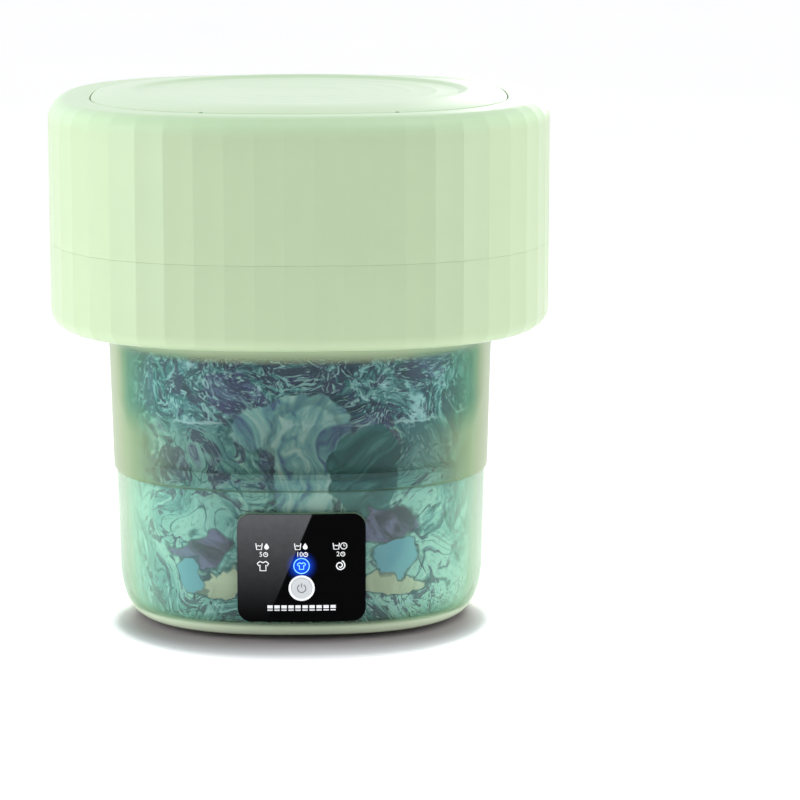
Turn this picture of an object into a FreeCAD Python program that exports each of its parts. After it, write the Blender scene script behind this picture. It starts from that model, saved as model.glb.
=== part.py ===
import FreeCAD, Part
import math
import os
import Sketcher
from FreeCAD import Placement, Rotation, Vector

# Portable folding mini washer, in millimetres.
# +Z is up, the control panel faces -Y, and the origin is the bottom centre, at the feet's underside.
# The wide collar slides down over the narrow base when the soft wall between them folds.

doc = FreeCAD.newDocument("MiniWasher")
sheet = doc.addObject("Spreadsheet::Sheet", "Sizes")

SIZES = [
    # collar: the wide upper ring, whose outline is a faceted squircle
    ("collar_half", 130.0), ("collar_floor", 155.0), ("seam_height", 198.5), ("collar_top", 271.0),
    ("collar_wall", 2.6), ("crown_round", 10.0), ("skirt_round", 8.0), ("facet_count", 56),
    ("outline_power", 2.6), ("seam_gap", 0.4), ("throat_half", 108.3), ("mouth_half", 108.7),
    ("liner_half", 115.0), ("liner_wall", 2.0), ("clamp_floor", 160.0), ("clamp_height", 2.5),
    ("clamp_inner", 103.5), ("clamp_outer", 122.0), ("clamp_screw_half", 119.0),
    ("rim_floor", 259.0), ("rim_top", 263.5), ("rim_outer", 116.5), ("rim_inner", 106.0),
    ("ledge_inner", 100.0), ("ledge_floor", 257.5), ("ledge_top", 260.5),
    # lid: a shallow crown with a round dish inside a raised lip
    ("lid_half", 108.0), ("lid_floor", 266.0), ("lid_edge_top", 271.2), ("lid_lip_top", 273.8),
    ("dish_floor", 272.4), ("dish_radius", 84.0), ("lip_radius", 88.0), ("lid_pocket_half", 102.0),
    ("lid_pocket_top", 268.6), ("notch_offset", 48.4), ("notch_width", 3.0), ("notch_depth", 1.4),
    ("lid_seal_inner", 103.8), ("lid_seal_outer", 107.4), ("lid_seal_floor", 263.8),
    # drain basket, hung on the rim's inner ledge
    ("basket_flange_half", 105.4), ("basket_top", 262.6), ("basket_mouth_half", 99.2),
    ("basket_floor", 210.0), ("basket_floor_half", 83.0), ("basket_wall", 2.0),
    # soft folding wall
    ("soft_foot_half", 98.6), ("soft_low_half", 98.3), ("soft_high_half", 100.2),
    ("soft_neck_half", 107.7), ("soft_foot", 79.0), ("soft_low", 95.0), ("soft_high", 146.0),
    ("soft_wall", 1.8), ("soft_bead_half", 112.5), ("soft_bead_floor", 157.8), ("soft_bead_top", 159.8),
    # base shell: nearly straight wall, elliptic turn-in at the bottom
    ("base_rim_half", 97.2), ("base_waist_half", 95.9), ("base_waist", 27.5), ("base_floor", 2.5),
    ("base_turn", 10.0), ("base_wall", 2.5), ("base_neck_half", 95.8), ("base_neck_top", 85.0),
    ("base_neck_inner", 93.2), ("base_opening_half", 80.0), ("rim_clamp_height", 2.6),
    # inner tub: cup with a skirt below its floor and a niche for the electronics
    ("tub_foot", 8.5), ("tub_foot_half", 86.8), ("tub_top", 84.0), ("tub_top_half", 92.6),
    ("tub_wall", 2.0), ("tub_floor", 42.5), ("tub_floor_wall", 2.5), ("niche_half", 34.0),
    ("niche_back", 80.0), ("niche_top", 70.0), ("hub_radius", 16.0), ("hub_top", 53.0),
    # drive: pulsator on a shaft with two bearings, turned by a spur pair
    ("shaft_radius", 4.0), ("shaft_low", 23.5), ("shaft_top", 60.0), ("bearing_radius", 11.0),
    ("bearing_width", 7.0), ("upper_bearing", 42.0), ("lower_bearing", 26.0), ("seal_radius", 9.0),
    ("pulsator_radius", 62.0), ("pulsator_floor", 47.0), ("pulsator_top", 63.0),
    ("gear_floor", 34.5), ("gear_width", 6.0), ("gear_module", 1.0), ("gear_teeth", 45),
    ("pinion_teeth", 15), ("motor_radius", 13.0), ("motor_low", 8.0), ("motor_shaft_radius", 1.5),
    ("plate_radius", 44.0), ("plate_floor", 31.0), ("plate_wall", 2.0), ("plate_screw_circle", 38.0),
    # control panel
    ("panel_half_width", 32.5), ("panel_low", 12.0), ("panel_high", 67.5), ("panel_corner", 7.0),
    ("panel_face_half", 97.6), ("panel_thickness", 4.0), ("button_height", 29.7),
    ("button_radius", 5.3), ("ring_radius", 6.6), ("icon_height", 41.1), ("icon_pitch", 19.5),
    ("board_front", 88.0), ("board_wall", 1.6),
    # bottom and back
    ("cover_half", 79.6), ("foot_offset", 51.0), ("foot_radius", 7.0), ("boss_offset", 41.0),
    ("jack_height", 16.0), ("drain_height", 13.0), ("drain_pipe_radius", 6.5), ("drain_bore_radius", 4.5),
    ("drain_offset", 70.0), ("jack_offset", 32.0), ("jack_radius", 5.5),
]
for row, (alias, value) in enumerate(SIZES, start=1):
    sheet.set(f"A{row}", alias.replace("_", " "))
    sheet.set(f"B{row}", str(value))
    sheet.setAlias(f"B{row}", alias)
doc.recompute()


class Size:
    """A length that carries its spreadsheet formula along with its value."""

    def __init__(self, value, text=None):
        self.value = value
        self.text = text if text is not None else str(value)

    def combine(self, other, sign, value):
        other_text = other.text if isinstance(other, Size) else str(other)
        return Size(value, f"({self.text} {sign} {other_text})")

    def __add__(self, other):
        return self.combine(other, "+", self.value + number(other))

    def __sub__(self, other):
        return self.combine(other, "-", self.value - number(other))

    def __mul__(self, other):
        return self.combine(other, "*", self.value * number(other))

    def __truediv__(self, other):
        return self.combine(other, "/", self.value / number(other))

    def __neg__(self):
        return Size(-self.value, f"(0 - {self.text})")


def number(length):
    return length.value if isinstance(length, Size) else length


class Sizes:
    """Every sheet cell by its alias: g is a Size bound to the sheet, v a plain number."""

    def __init__(self, plain):
        for alias, _ in SIZES:
            value = float(sheet.get(alias))
            setattr(self, alias, value if plain else Size(value, f"Sizes.{alias}"))


g = Sizes(plain=False)
v = Sizes(plain=True)
UP = Vector(0, 0, 1)
subparts = []


def keep(obj, label):
    """Name a finished sub-part; its label is its file's name."""
    obj.Label = label
    subparts.append(obj)
    return obj


def bind(obj, prop, length):
    if isinstance(length, Size):
        obj.setExpression(prop, length.text)
    else:
        setattr(obj, prop, length)


def place(obj, x, y, z, rotation=None):
    obj.Placement = Placement(Vector(number(x), number(y), number(z)), rotation or Rotation())
    for axis, length in zip("xyz", (x, y, z)):
        if isinstance(length, Size):
            obj.setExpression(f"Placement.Base.{axis}", length.text)


# ---- primitives and booleans -------------------------------------------------------------------

def cylinder(radius, low, high, x=0, y=0):
    """Upright cylinder between two heights."""
    obj = doc.addObject("Part::Cylinder", "Cylinder")
    bind(obj, "Radius", radius)
    bind(obj, "Height", high - low)
    place(obj, x, y, low)
    return obj


def rod(radius, front, back, x, z):
    """Cylinder along Y between two depths."""
    obj = doc.addObject("Part::Cylinder", "Rod")
    bind(obj, "Radius", radius)
    bind(obj, "Height", back - front)
    place(obj, x, front, z, Rotation(Vector(1, 0, 0), -90))
    return obj


def block(x0, x1, y0, y1, z0, z1):
    obj = doc.addObject("Part::Box", "Block")
    bind(obj, "Length", x1 - x0)
    bind(obj, "Width", y1 - y0)
    bind(obj, "Height", z1 - z0)
    place(obj, x0, y0, z0)
    return obj


def fuse(*parts):
    obj = doc.addObject("Part::MultiFuse", "Fused")
    obj.Shapes = list(parts)
    return obj


def cut(base, *tools):
    obj = doc.addObject("Part::Cut", "Cut")
    obj.Base = base
    obj.Tool = fuse(*tools) if len(tools) > 1 else tools[0]
    return obj


def ring(outer, inner, low, high, x=0, y=0):
    return cut(cylinder(outer, low, high, x, y), cylinder(inner, low, high, x, y))


def solid(shape, name="Form"):
    """Document object for a shape that only Part's own functions can make."""
    obj = doc.addObject("Part::Feature", name)
    obj.Shape = shape
    obj.Placement = Placement()
    return obj


# ---- the squircle family -----------------------------------------------------------------------
# A smooth squircle of half width a is eight tangent arcs: four flat side arcs of radius
# SIDE_ARC * a, and four corner arcs. SIDE_TURN is half the angle of a side arc.
SIDE_ARC = 2.44
SIDE_TURN = math.radians(8.0)
CORNER_ARC = SIDE_ARC - (SIDE_ARC - 1) / (math.cos(SIDE_TURN) - math.sin(SIDE_TURN))


def superellipse(half, angle):
    """Distance from the centre to the outline, at an angle from the front."""
    power = v.outline_power
    total = abs(math.sin(angle)) ** power + abs(math.cos(angle)) ** power
    return half / total ** (1 / power)


def outline_spot(half, angle):
    """Point of the outline at an angle from the front, as x and y."""
    reach = superellipse(half, angle)
    return reach * math.sin(angle), -reach * math.cos(angle)


def squircle(half, height):
    """Closed wire of eight arcs at one height."""
    edges = []
    side_centre = (SIDE_ARC - 1) * half
    corner_reach = (SIDE_ARC - CORNER_ARC) * half
    corner_x = corner_reach * math.sin(SIDE_TURN)
    corner_y = side_centre - corner_reach * math.cos(SIDE_TURN)
    for quarter in range(4):
        turn = Rotation(UP, 90 * quarter)
        for cx, cy, radius, first, last in (
                (0.0, side_centre, SIDE_ARC * half, -SIDE_TURN, SIDE_TURN),
                (corner_x, corner_y, CORNER_ARC * half, SIDE_TURN, math.pi / 2 - SIDE_TURN)):
            spots = []
            for angle in (first, (first + last) / 2, last):
                spot = Vector(cx + radius * math.sin(angle), cy - radius * math.cos(angle), height)
                spots.append(turn.multVec(spot))
            edges.append(Part.Arc(*spots).toShape())
    return Part.Wire(edges)


def facets(half, height):
    """Closed polygon whose corners lie on the superellipse, with a facet facing the front."""
    count = int(v.facet_count)
    spots = []
    for index in range(count):
        x, y = outline_spot(half, 2 * math.pi * (index + 0.5) / count)
        spots.append(Vector(x, y, height))
    return Part.makePolygon(spots + spots[:1])


def prism(wire, low, high):
    """Upright solid on a wire that was drawn at height low."""
    return Part.Face(wire).extrude(UP * (high - low))


def squircle_prism(half, low, high):
    return prism(squircle(half, low), low, high)


def squircle_loft(sections):
    """Solid through smooth squircles given as (half width, height), low to high."""
    return Part.makeLoft([squircle(half, height) for half, height in sections], True, True)


def squircle_ring(outer, inner, low, high):
    return squircle_prism(outer, low, high).cut(squircle_prism(inner, low, high))


def edges_at(shape, height):
    """Edges that lie in one horizontal plane."""
    tolerance = 1e-4
    return [edge for edge in shape.Edges
            if abs(edge.BoundBox.ZMin - height) < tolerance
            and abs(edge.BoundBox.ZMax - height) < tolerance]


# ---- sketches and bodies -----------------------------------------------------------------------

def new_body(name):
    return doc.addObject("PartDesign::Body", name)


def origin_plane(body, role):
    return next(plane for plane in body.Origin.OriginFeatures if plane.Role == role)


def new_sketch(body, name, role="XZ_Plane"):
    sketch = body.newObject("Sketcher::SketchObject", name)
    sketch.AttachmentSupport = [(origin_plane(body, role), "")]
    sketch.MapMode = "FlatFace"
    return sketch


def draw_outline(sketch, corners):
    """Closed polyline whose corners are held by distances bound to the sheet."""
    spots = [Vector(number(x), number(y), 0) for x, y in corners]
    for index, spot in enumerate(spots):
        sketch.addGeometry(Part.LineSegment(spot, spots[(index + 1) % len(spots)]), False)
    for index, corner in enumerate(corners):
        following = (index + 1) % len(corners)
        sketch.addConstraint(Sketcher.Constraint("Coincident", index, 2, following, 1))
        for kind, length in zip(("DistanceX", "DistanceY"), corner):
            row = sketch.addConstraint(Sketcher.Constraint(kind, -1, 1, index, 1, number(length)))
            if isinstance(length, Size):
                sketch.setExpression(f"Constraints[{row}]", length.text)


def turned(label, corners, x=0, y=0):
    """Body of revolution about a vertical axis, from a closed outline of (radius, height)."""
    body = new_body(label)
    sketch = new_sketch(body, "Outline")
    draw_outline(sketch, corners)
    feature = body.newObject("PartDesign::Revolution", "Turned")
    feature.Profile = sketch
    feature.ReferenceAxis = (sketch, ["V_Axis"])
    feature.Angle = 360
    body.Tip = feature
    place(body, x, y, 0)
    return keep(body, label)


def tube_corners(outer, inner, low, high):
    return [(inner, low), (outer, low), (outer, high), (inner, high)]


def screws(label, spots, head_radius, head_low, head_high, shank_radius, shank_low, shank_high):
    """Group of identical upright screws, each a head and a shank, as separate solids."""
    pieces = []
    for x, y in spots:
        pieces.append(fuse(cylinder(head_radius, head_low, head_high, x, y),
                           cylinder(shank_radius, shank_low, shank_high, x, y)))
    group = doc.addObject("Part::Compound", label)
    group.Links = pieces
    return keep(group, label)


# ---- collar ------------------------------------------------------------------------------------

def faceted_block(half, low, high, floor_round, top_round):
    """Faceted prism with its bottom or top edges rounded."""
    shape = prism(facets(half, low), low, high)
    if floor_round:
        shape = shape.makeFillet(floor_round, edges_at(shape, low))
    if top_round:
        shape = shape.makeFillet(top_round, edges_at(shape, high))
    return shape


def lid_notches(low, high):
    """Two small finger notches in the front edge of the lid's gap."""
    notches = []
    for side in (-1, 1):
        _, front = outline_spot(v.lid_half, math.asin(v.notch_offset / v.lid_half))
        corner = Vector(side * v.notch_offset - v.notch_width / 2, front - v.notch_depth, low)
        notches.append(Part.makeBox(v.notch_width, 2 * v.notch_depth + 2, high - low, corner))
    return notches


def make_upper_shell():
    seam = v.seam_height + v.seam_gap / 2
    inner_half = v.collar_half - v.collar_wall
    deck_floor = v.collar_top - v.collar_wall
    shape = faceted_block(v.collar_half, seam, v.collar_top, 0, v.crown_round)
    cavity = faceted_block(inner_half, seam, deck_floor, 0, v.crown_round - v.collar_wall)
    skirt = squircle_ring(v.mouth_half + v.liner_wall, v.mouth_half, v.rim_top, v.collar_top)
    shape = shape.cut(cavity).fuse(skirt)
    shape = shape.cut(squircle_prism(v.mouth_half, seam, v.collar_top + 1))
    return keep(solid(shape), "upper_shell")


def clamp_spots():
    """Centres of the screws round the collar's clamp ring."""
    return [outline_spot(v.clamp_screw_half, math.pi * (index + 0.5) / 4) for index in range(8)]


def make_lower_shell():
    seam = v.seam_height - v.seam_gap / 2
    inner_half = v.collar_half - v.collar_wall
    floor = v.collar_floor + v.collar_wall
    shape = faceted_block(v.collar_half, v.collar_floor, seam, v.skirt_round, 0)
    shape = shape.cut(faceted_block(inner_half, floor, seam, v.skirt_round - v.collar_wall, 0))
    shape = shape.cut(squircle_prism(v.throat_half, v.collar_floor - 1, floor + 1))
    for x, y in clamp_spots():
        boss = Part.makeCylinder(3.4, v.clamp_floor - floor, Vector(x, y, floor))
        bore = Part.makeCylinder(1.4, v.clamp_floor - floor + 1, Vector(x, y, floor - 1))
        shape = shape.fuse(boss).cut(bore)
    return keep(solid(shape), "lower_shell")


def make_seam_gasket():
    """Alignment ring behind the seam, with a thin lip that fills the seam's gap."""
    inner_half = v.collar_half - v.collar_wall - 0.2
    half_lip = v.seam_gap / 2 - 0.05
    ring_low = v.seam_height - 4.5
    ring_high = v.seam_height + 4.5
    shape = prism(facets(inner_half, ring_low), ring_low, ring_high)
    lip_low = v.seam_height - half_lip
    lip_high = v.seam_height + half_lip
    shape = shape.fuse(prism(facets(v.collar_half - 0.8, lip_low), lip_low, lip_high))
    shape = shape.cut(prism(facets(inner_half - 2, ring_low - 1), ring_low - 1, ring_high + 1))
    return keep(solid(shape), "seam_gasket")


def make_liner():
    foot = v.clamp_floor + v.clamp_height
    inner_half = v.liner_half - v.liner_wall
    shape = squircle_ring(v.liner_half, inner_half, foot, v.rim_floor)
    return keep(solid(shape), "collar_liner")


def make_rim_ring():
    seat = squircle_ring(v.rim_outer, v.rim_inner, v.rim_floor, v.rim_top)
    ledge = squircle_ring(v.rim_inner + 2, v.ledge_inner, v.ledge_floor, v.ledge_top)
    return keep(solid(seat.fuse(ledge)), "rim_ring")


def make_soft_clamp():
    top = v.clamp_floor + v.clamp_height
    shape = squircle_ring(v.clamp_outer, v.clamp_inner, v.clamp_floor, top)
    for x, y in clamp_spots():
        shape = shape.cut(Part.makeCylinder(1.7, v.clamp_height + 2, Vector(x, y, v.clamp_floor - 1)))
    keep(solid(shape), "soft_wall_clamp")
    top_size = g.clamp_floor + g.clamp_height
    screws("clamp_screws", clamp_spots(), 2.8, top_size, top_size + 1.8, 1.4, g.clamp_floor - 2.2, top_size)


# ---- lid and basket ----------------------------------------------------------------------------

def make_lid():
    """Squircle plate whose round dish sits inside a raised lip; its underside is hollow."""
    reach = v.lid_half * 1.4
    lip = v.lid_lip_top
    corners = [(0, v.lid_floor), (reach, v.lid_floor), (reach, v.lid_edge_top - 0.8),
               (v.lid_half * 0.93, v.lid_edge_top + 0.5), (v.lip_radius + 3.5, lip - 0.5),
               (v.lip_radius + 1.2, lip), (v.lip_radius - 1.2, lip), (v.dish_radius, v.dish_floor),
               (0, v.dish_floor)]
    profile = Part.makePolygon([Vector(r, 0, z) for r, z in corners + corners[:1]])
    crown = Part.Face(profile).revolve(Vector(), UP, 360)
    shape = crown.common(squircle_prism(v.lid_half, v.lid_floor, lip + 1))
    shape = shape.cut(squircle_prism(v.lid_pocket_half, v.lid_floor - 1, v.lid_pocket_top))
    for notch in lid_notches(v.lid_floor - 1, lip + 1):
        shape = shape.cut(notch)
    keep(solid(shape), "lid")
    seal = squircle_ring(v.lid_seal_outer, v.lid_seal_inner, v.lid_seal_floor, v.lid_floor)
    keep(solid(seal), "lid_seal")


def make_basket():
    """Tapered strainer with a hanging flange, slotted sides and a pierced floor."""
    wall = v.basket_wall
    outer = squircle_loft([(v.basket_floor_half, v.basket_floor), (v.basket_mouth_half, v.basket_top)])
    inner = squircle_loft([(v.basket_floor_half - wall, v.basket_floor + wall),
                           (v.basket_mouth_half - wall, v.basket_top)])
    flange = squircle_prism(v.basket_flange_half, v.basket_top - wall, v.basket_top)
    shape = outer.fuse(flange).cut(inner)
    drills = []
    for radius, count in ((0, 1), (16, 6), (32, 12), (48, 18), (64, 24)):
        for index in range(count):
            angle = 2 * math.pi * index / count
            spot = Vector(radius * math.cos(angle), radius * math.sin(angle), v.basket_floor - 1)
            drills.append(Part.makeCylinder(3.2, wall + 2, spot))
    for index in range(40):
        angle = 2 * math.pi * (index + 0.5) / 40
        slot = Part.makeBox(40, 3.6, 26, Vector(70, -1.8, v.basket_floor + 12))
        slot.rotate(Vector(), UP, math.degrees(angle))
        drills.append(slot)
    return keep(solid(shape.cut(Part.makeCompound(drills))), "drain_basket")


# ---- soft folding wall -------------------------------------------------------------------------

def make_folding_wall():
    """Soft sleeve that grips the base's neck and flares out to a clamped bead at the collar."""
    flare_reach = v.soft_neck_half - v.soft_high_half
    flare_rise = v.collar_floor - v.soft_high
    outer = [(v.soft_foot_half, v.soft_foot), (v.soft_low_half, v.soft_low)]
    for degrees in range(0, 91, 15):
        angle = math.radians(degrees)
        outer.append((v.soft_high_half + flare_reach * (1 - math.cos(angle)),
                      v.soft_high + flare_rise * math.sin(angle)))
    outer.append((v.soft_neck_half, v.soft_bead_top))
    wall = v.soft_wall
    grip = v.base_neck_half + 0.2
    inner = [(grip, v.soft_foot), (grip, v.base_neck_top + 1), (v.soft_low_half - wall, v.soft_low)]
    for half, height in outer[2:-1]:
        inner.append((half - wall, height + 0.8))
    inner.append((v.soft_neck_half - wall, v.soft_bead_top))
    bead = squircle_ring(v.soft_bead_half, v.soft_neck_half - wall / 2, v.soft_bead_floor, v.soft_bead_top)
    shape = squircle_loft(outer).cut(squircle_loft(inner)).fuse(bead)
    return keep(solid(shape), "folding_wall")


# ---- base --------------------------------------------------------------------------------------

def turn_in(wall, steps=6):
    """Sections of the bottom's elliptic turn-in, offset inward by the wall."""
    rise = v.base_waist - v.base_floor - wall
    sections = []
    for step in range(steps + 1):
        angle = math.pi / 2 * (1 - step / steps)
        half = v.base_waist_half - wall - v.base_turn * (1 - math.cos(angle))
        sections.append((half, v.base_waist - rise * math.sin(angle)))
    return sections


def panel_outline(grow, depth):
    """Rounded rectangle of the panel, grown by a margin, as a wire at one depth along Y."""
    half = v.panel_half_width + grow
    low = v.panel_low - grow
    high = v.panel_high + grow
    corner = v.panel_corner + grow
    box = Part.makeBox(2 * half, 200, high - low, Vector(-half, depth, low))
    upright = [edge for edge in box.Edges if edge.BoundBox.YLength > 100]
    return box.makeFillet(corner, upright)


def panel_slice(grow, outer, inner):
    """Slice of the panel's outline between two squircle skins, at the front only."""
    skin = squircle_ring(outer, inner, v.panel_low - 5, v.panel_high + 5)
    front = Part.makeBox(200, 60, 100, Vector(-100, -outer - 1, 0))
    return panel_outline(grow, -outer - 1).common(skin).common(front)


def bore_back(shape, start, length):
    """Cuts the drain's and the inlet's holes along Y."""
    for x, height, radius in ((0, v.drain_height, v.drain_pipe_radius),
                              (-v.jack_offset, v.jack_height, v.jack_radius)):
        hole = Part.makeCylinder(radius + 0.15, length, Vector(x, start, height), Vector(0, 1, 0))
        shape = shape.cut(hole)
    return shape


def make_base_shell():
    outer = squircle_loft(turn_in(0) + [(v.base_rim_half, v.soft_foot)])
    neck = squircle_prism(v.base_neck_half, v.soft_foot - 1, v.base_neck_top)
    inner = squircle_loft(turn_in(v.base_wall) + [(v.base_neck_inner, v.base_neck_top)])
    shape = outer.fuse(neck).cut(inner)
    shape = shape.cut(squircle_prism(v.base_opening_half, 0, v.base_waist))
    window = panel_outline(0.2, -v.base_rim_half - 5)
    shape = shape.cut(window.common(Part.makeBox(200, 40, 100, Vector(-100, -110, 0))))
    return keep(solid(bore_back(shape, 60, 60)), "base_shell")


def tub_cavity(low, high):
    """Hollow of the inner tub between two heights, less the electronics niche."""
    rise = v.tub_top - v.tub_foot
    slope = (v.tub_top_half - v.tub_foot_half) / rise
    ends = [(v.tub_foot_half - v.tub_wall + slope * (z - v.tub_foot), z) for z in (low, high)]
    half = v.niche_half + v.tub_wall
    niche = Part.makeBox(2 * half, 40, v.niche_top + v.tub_wall + 10,
                         Vector(-half, -40 - v.niche_back + v.tub_wall, -10))
    return squircle_loft(ends).cut(niche)


def plate_spots():
    """Bosses of the drive plate, on a circle between the feet's directions."""
    return [(v.plate_screw_circle * math.cos(math.pi * (index + 0.5) / 2),
             v.plate_screw_circle * math.sin(math.pi * (index + 0.5) / 2)) for index in range(4)]


def corner_spots(offset):
    return [(x, y) for x in (-offset, offset) for y in (-offset, offset)]


def make_inner_tub():
    """Cup with a skirt, a shaft tower, bosses for the drive plate and the bottom cover."""
    floor_top = v.tub_floor + v.tub_floor_wall
    shape = squircle_loft([(v.tub_foot_half, v.tub_foot), (v.tub_top_half, v.tub_top)])
    niche = Part.makeBox(2 * v.niche_half, 40, v.niche_top, Vector(-v.niche_half, -40 - v.niche_back, 0))
    shape = shape.cut(niche)
    shape = shape.cut(tub_cavity(floor_top, v.tub_top + 1)).cut(tub_cavity(v.tub_foot - 1, v.tub_floor))
    tower = Part.makeCylinder(v.hub_radius, v.hub_top - v.tub_floor, Vector(0, 0, v.tub_floor))
    shape = shape.fuse(tower)
    plate_top = v.plate_floor + v.plate_wall
    for x, y in plate_spots():
        shape = shape.fuse(Part.makeCylinder(4.5, v.tub_floor - plate_top + 1, Vector(x, y, plate_top)))
        shape = shape.cut(Part.makeCylinder(1.4, v.tub_floor - plate_top, Vector(x, y, plate_top - 1)))
    boss_low = v.base_floor + v.base_wall
    for x, y in corner_spots(v.boss_offset):
        shape = shape.fuse(Part.makeCylinder(4.0, v.tub_floor - boss_low + 1, Vector(x, y, boss_low)))
        shape = shape.cut(Part.makeCylinder(1.4, 15, Vector(x, y, boss_low - 1)))
    shape = shape.cut(Part.makeCylinder(v.seal_radius, 20, Vector(0, 0, v.tub_floor + 5)))
    bearing_bore = v.upper_bearing + v.bearing_width - v.tub_floor + 1
    shape = shape.cut(Part.makeCylinder(v.bearing_radius, bearing_bore, Vector(0, 0, v.tub_floor - 1)))
    shape = shape.cut(Part.makeCylinder(v.drain_bore_radius, 10, Vector(0, v.drain_offset, v.tub_floor - 2)))
    return keep(solid(bore_back(shape, 80, 25)), "inner_tub")


def make_rim_clamp():
    """Ring on the base's neck that holds the soft wall's foot from inside."""
    low = v.base_neck_top + 0.2
    shape = squircle_ring(v.base_neck_half - 0.2, v.tub_top_half - v.tub_wall, low, low + v.rim_clamp_height)
    return keep(solid(shape), "tub_rim_ring")


def make_bottom():
    cover_top = v.base_floor + v.base_wall
    shape = squircle_prism(v.cover_half, v.base_floor, cover_top)
    for x, y in corner_spots(v.foot_offset):
        shape = shape.cut(Part.makeCylinder(3.0, 10, Vector(x, y, 0)))
    for x, y in corner_spots(v.boss_offset):
        shape = shape.cut(Part.makeCylinder(1.6, 10, Vector(x, y, 0)))
        shape = shape.cut(Part.makeCylinder(3.4, 1.2, Vector(x, y, v.base_floor)))
    keep(solid(shape), "bottom_cover")
    feet = []
    for x, y in corner_spots(v.foot_offset):
        pad = cylinder(g.foot_radius, Size(0.0), g.base_floor, x, y)
        stem = cylinder(3.0, g.base_floor, g.base_floor + g.base_wall, x, y)
        barb = cylinder(3.8, g.base_floor + g.base_wall, g.base_floor + g.base_wall + 1, x, y)
        feet.append(fuse(pad, stem, barb))
    group = doc.addObject("Part::Compound", "Feet")
    group.Links = feet
    keep(group, "rubber_feet")
    head_low = g.base_floor + 0.2
    screws("bottom_screws", corner_spots(v.boss_offset), 3.2, head_low, g.base_floor + 1.2,
           1.4, g.base_floor + 1.2, g.base_floor + 14)


# ---- drive -------------------------------------------------------------------------------------

def gear_outline(teeth, start):
    """Involute spur outline as corner points; start turns the first tooth away from +X."""
    module = v.gear_module
    pitch = module * teeth / 2
    base = pitch * math.cos(math.radians(20))
    root = pitch - 1.25 * module
    tip = pitch + 0.95 * module
    backlash = 0.12
    half_pitch = math.pi / (2 * teeth) - backlash / pitch
    spread = math.tan(math.radians(20)) - math.radians(20)
    flank = []
    for step in range(6):
        radius = max(base, root) + (tip - max(base, root)) * step / 5
        pressure = math.acos(min(1.0, base / radius))
        flank.append((radius, half_pitch + spread - (math.tan(pressure) - pressure)))
    spots = []
    for tooth in range(teeth):
        centre = start + 2 * math.pi * tooth / teeth
        rising = [(root, flank[0][1])] + flank if root < base else flank
        path = [(radius, -turn) for radius, turn in rising]
        path += [(radius, turn) for radius, turn in reversed(rising)]
        spots += [(radius * math.cos(centre + turn), radius * math.sin(centre + turn))
                  for radius, turn in path]
    return spots


def make_gear(label, teeth, bore, start, x=0):
    """Spur gear padded from its outline; its height is bound to the sheet."""
    body = new_body(label)
    sketch = new_sketch(body, "Teeth", "XY_Plane")
    spots = [Vector(px, py, 0) for px, py in gear_outline(teeth, start)]
    for index, spot in enumerate(spots):
        sketch.addGeometry(Part.LineSegment(spot, spots[(index + 1) % len(spots)]), False)
    hole = sketch.addGeometry(Part.Circle(Vector(), UP, number(bore)), False)
    row = sketch.addConstraint(Sketcher.Constraint("Radius", hole, number(bore)))
    sketch.setExpression(f"Constraints[{row}]", bore.text)
    pad = body.newObject("PartDesign::Pad", "Face")
    pad.Profile = sketch
    bind(pad, "Length", g.gear_width)
    body.Tip = pad
    place(body, x, 0, g.gear_floor)
    return keep(body, label)


def make_drive():
    axle = g.shaft_radius
    turned("drive_shaft", [(0, g.shaft_low), (axle, g.shaft_low), (axle, g.shaft_top),
                           (2, g.shaft_top), (2, g.shaft_top - 12), (0, g.shaft_top - 12)])
    running = axle + 0.05
    for label, low in (("upper_bearing", g.upper_bearing), ("lower_bearing", g.lower_bearing)):
        turned(label, tube_corners(g.bearing_radius, running, low, low + g.bearing_width))
    seal_low = g.upper_bearing + g.bearing_width + 0.2
    turned("shaft_seal", [(running, seal_low), (g.seal_radius, seal_low), (g.seal_radius, g.hub_top),
                          (g.seal_radius - 2, g.hub_top), (running + 1.2, g.hub_top - 1.5),
                          (running, g.hub_top - 0.6)])
    clip_low = g.lower_bearing - 1
    keep(ring(axle + 2.4, axle, clip_low, clip_low + 0.7), "shaft_clip")
    hub_gap = v.gear_module * (v.gear_teeth + v.pinion_teeth) / 2
    make_gear("driven_gear", int(v.gear_teeth), g.shaft_radius, 0.0)
    opposite = math.pi + math.pi / v.pinion_teeth
    make_gear("motor_pinion", int(v.pinion_teeth), g.motor_shaft_radius, opposite, hub_gap)
    make_drive_plate(hub_gap)
    make_motor(hub_gap)


def make_drive_plate(hub_gap):
    """Steel plate under the gears; a cup at its centre holds the lower bearing."""
    plate_top = g.plate_floor + g.plate_wall
    cup_low = g.lower_bearing - 1.8
    plate = fuse(cylinder(g.plate_radius, g.plate_floor, plate_top),
                 cylinder(g.bearing_radius + 1.6, cup_low, plate_top))
    drills = [cylinder(g.bearing_radius, g.lower_bearing, plate_top),
              cylinder(g.bearing_radius - 3, cup_low, plate_top),
              cylinder(5.2, g.plate_floor, plate_top, hub_gap)]
    drills += [cylinder(1.6, g.plate_floor, plate_top, x, y) for x, y in plate_spots()]
    drills += [cylinder(1.4, g.plate_floor, plate_top, hub_gap, side * 10) for side in (-1, 1)]
    keep(cut(plate, *drills), "drive_plate")
    screws("plate_screws", plate_spots(), 2.8, g.plate_floor - 1.6, g.plate_floor, 1.4,
           g.plate_floor, plate_top + 7)
    screws("motor_screws", [(hub_gap, -10), (hub_gap, 10)], 2.4, plate_top, plate_top + 1,
           1.2, g.plate_floor - 1, plate_top)


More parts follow.
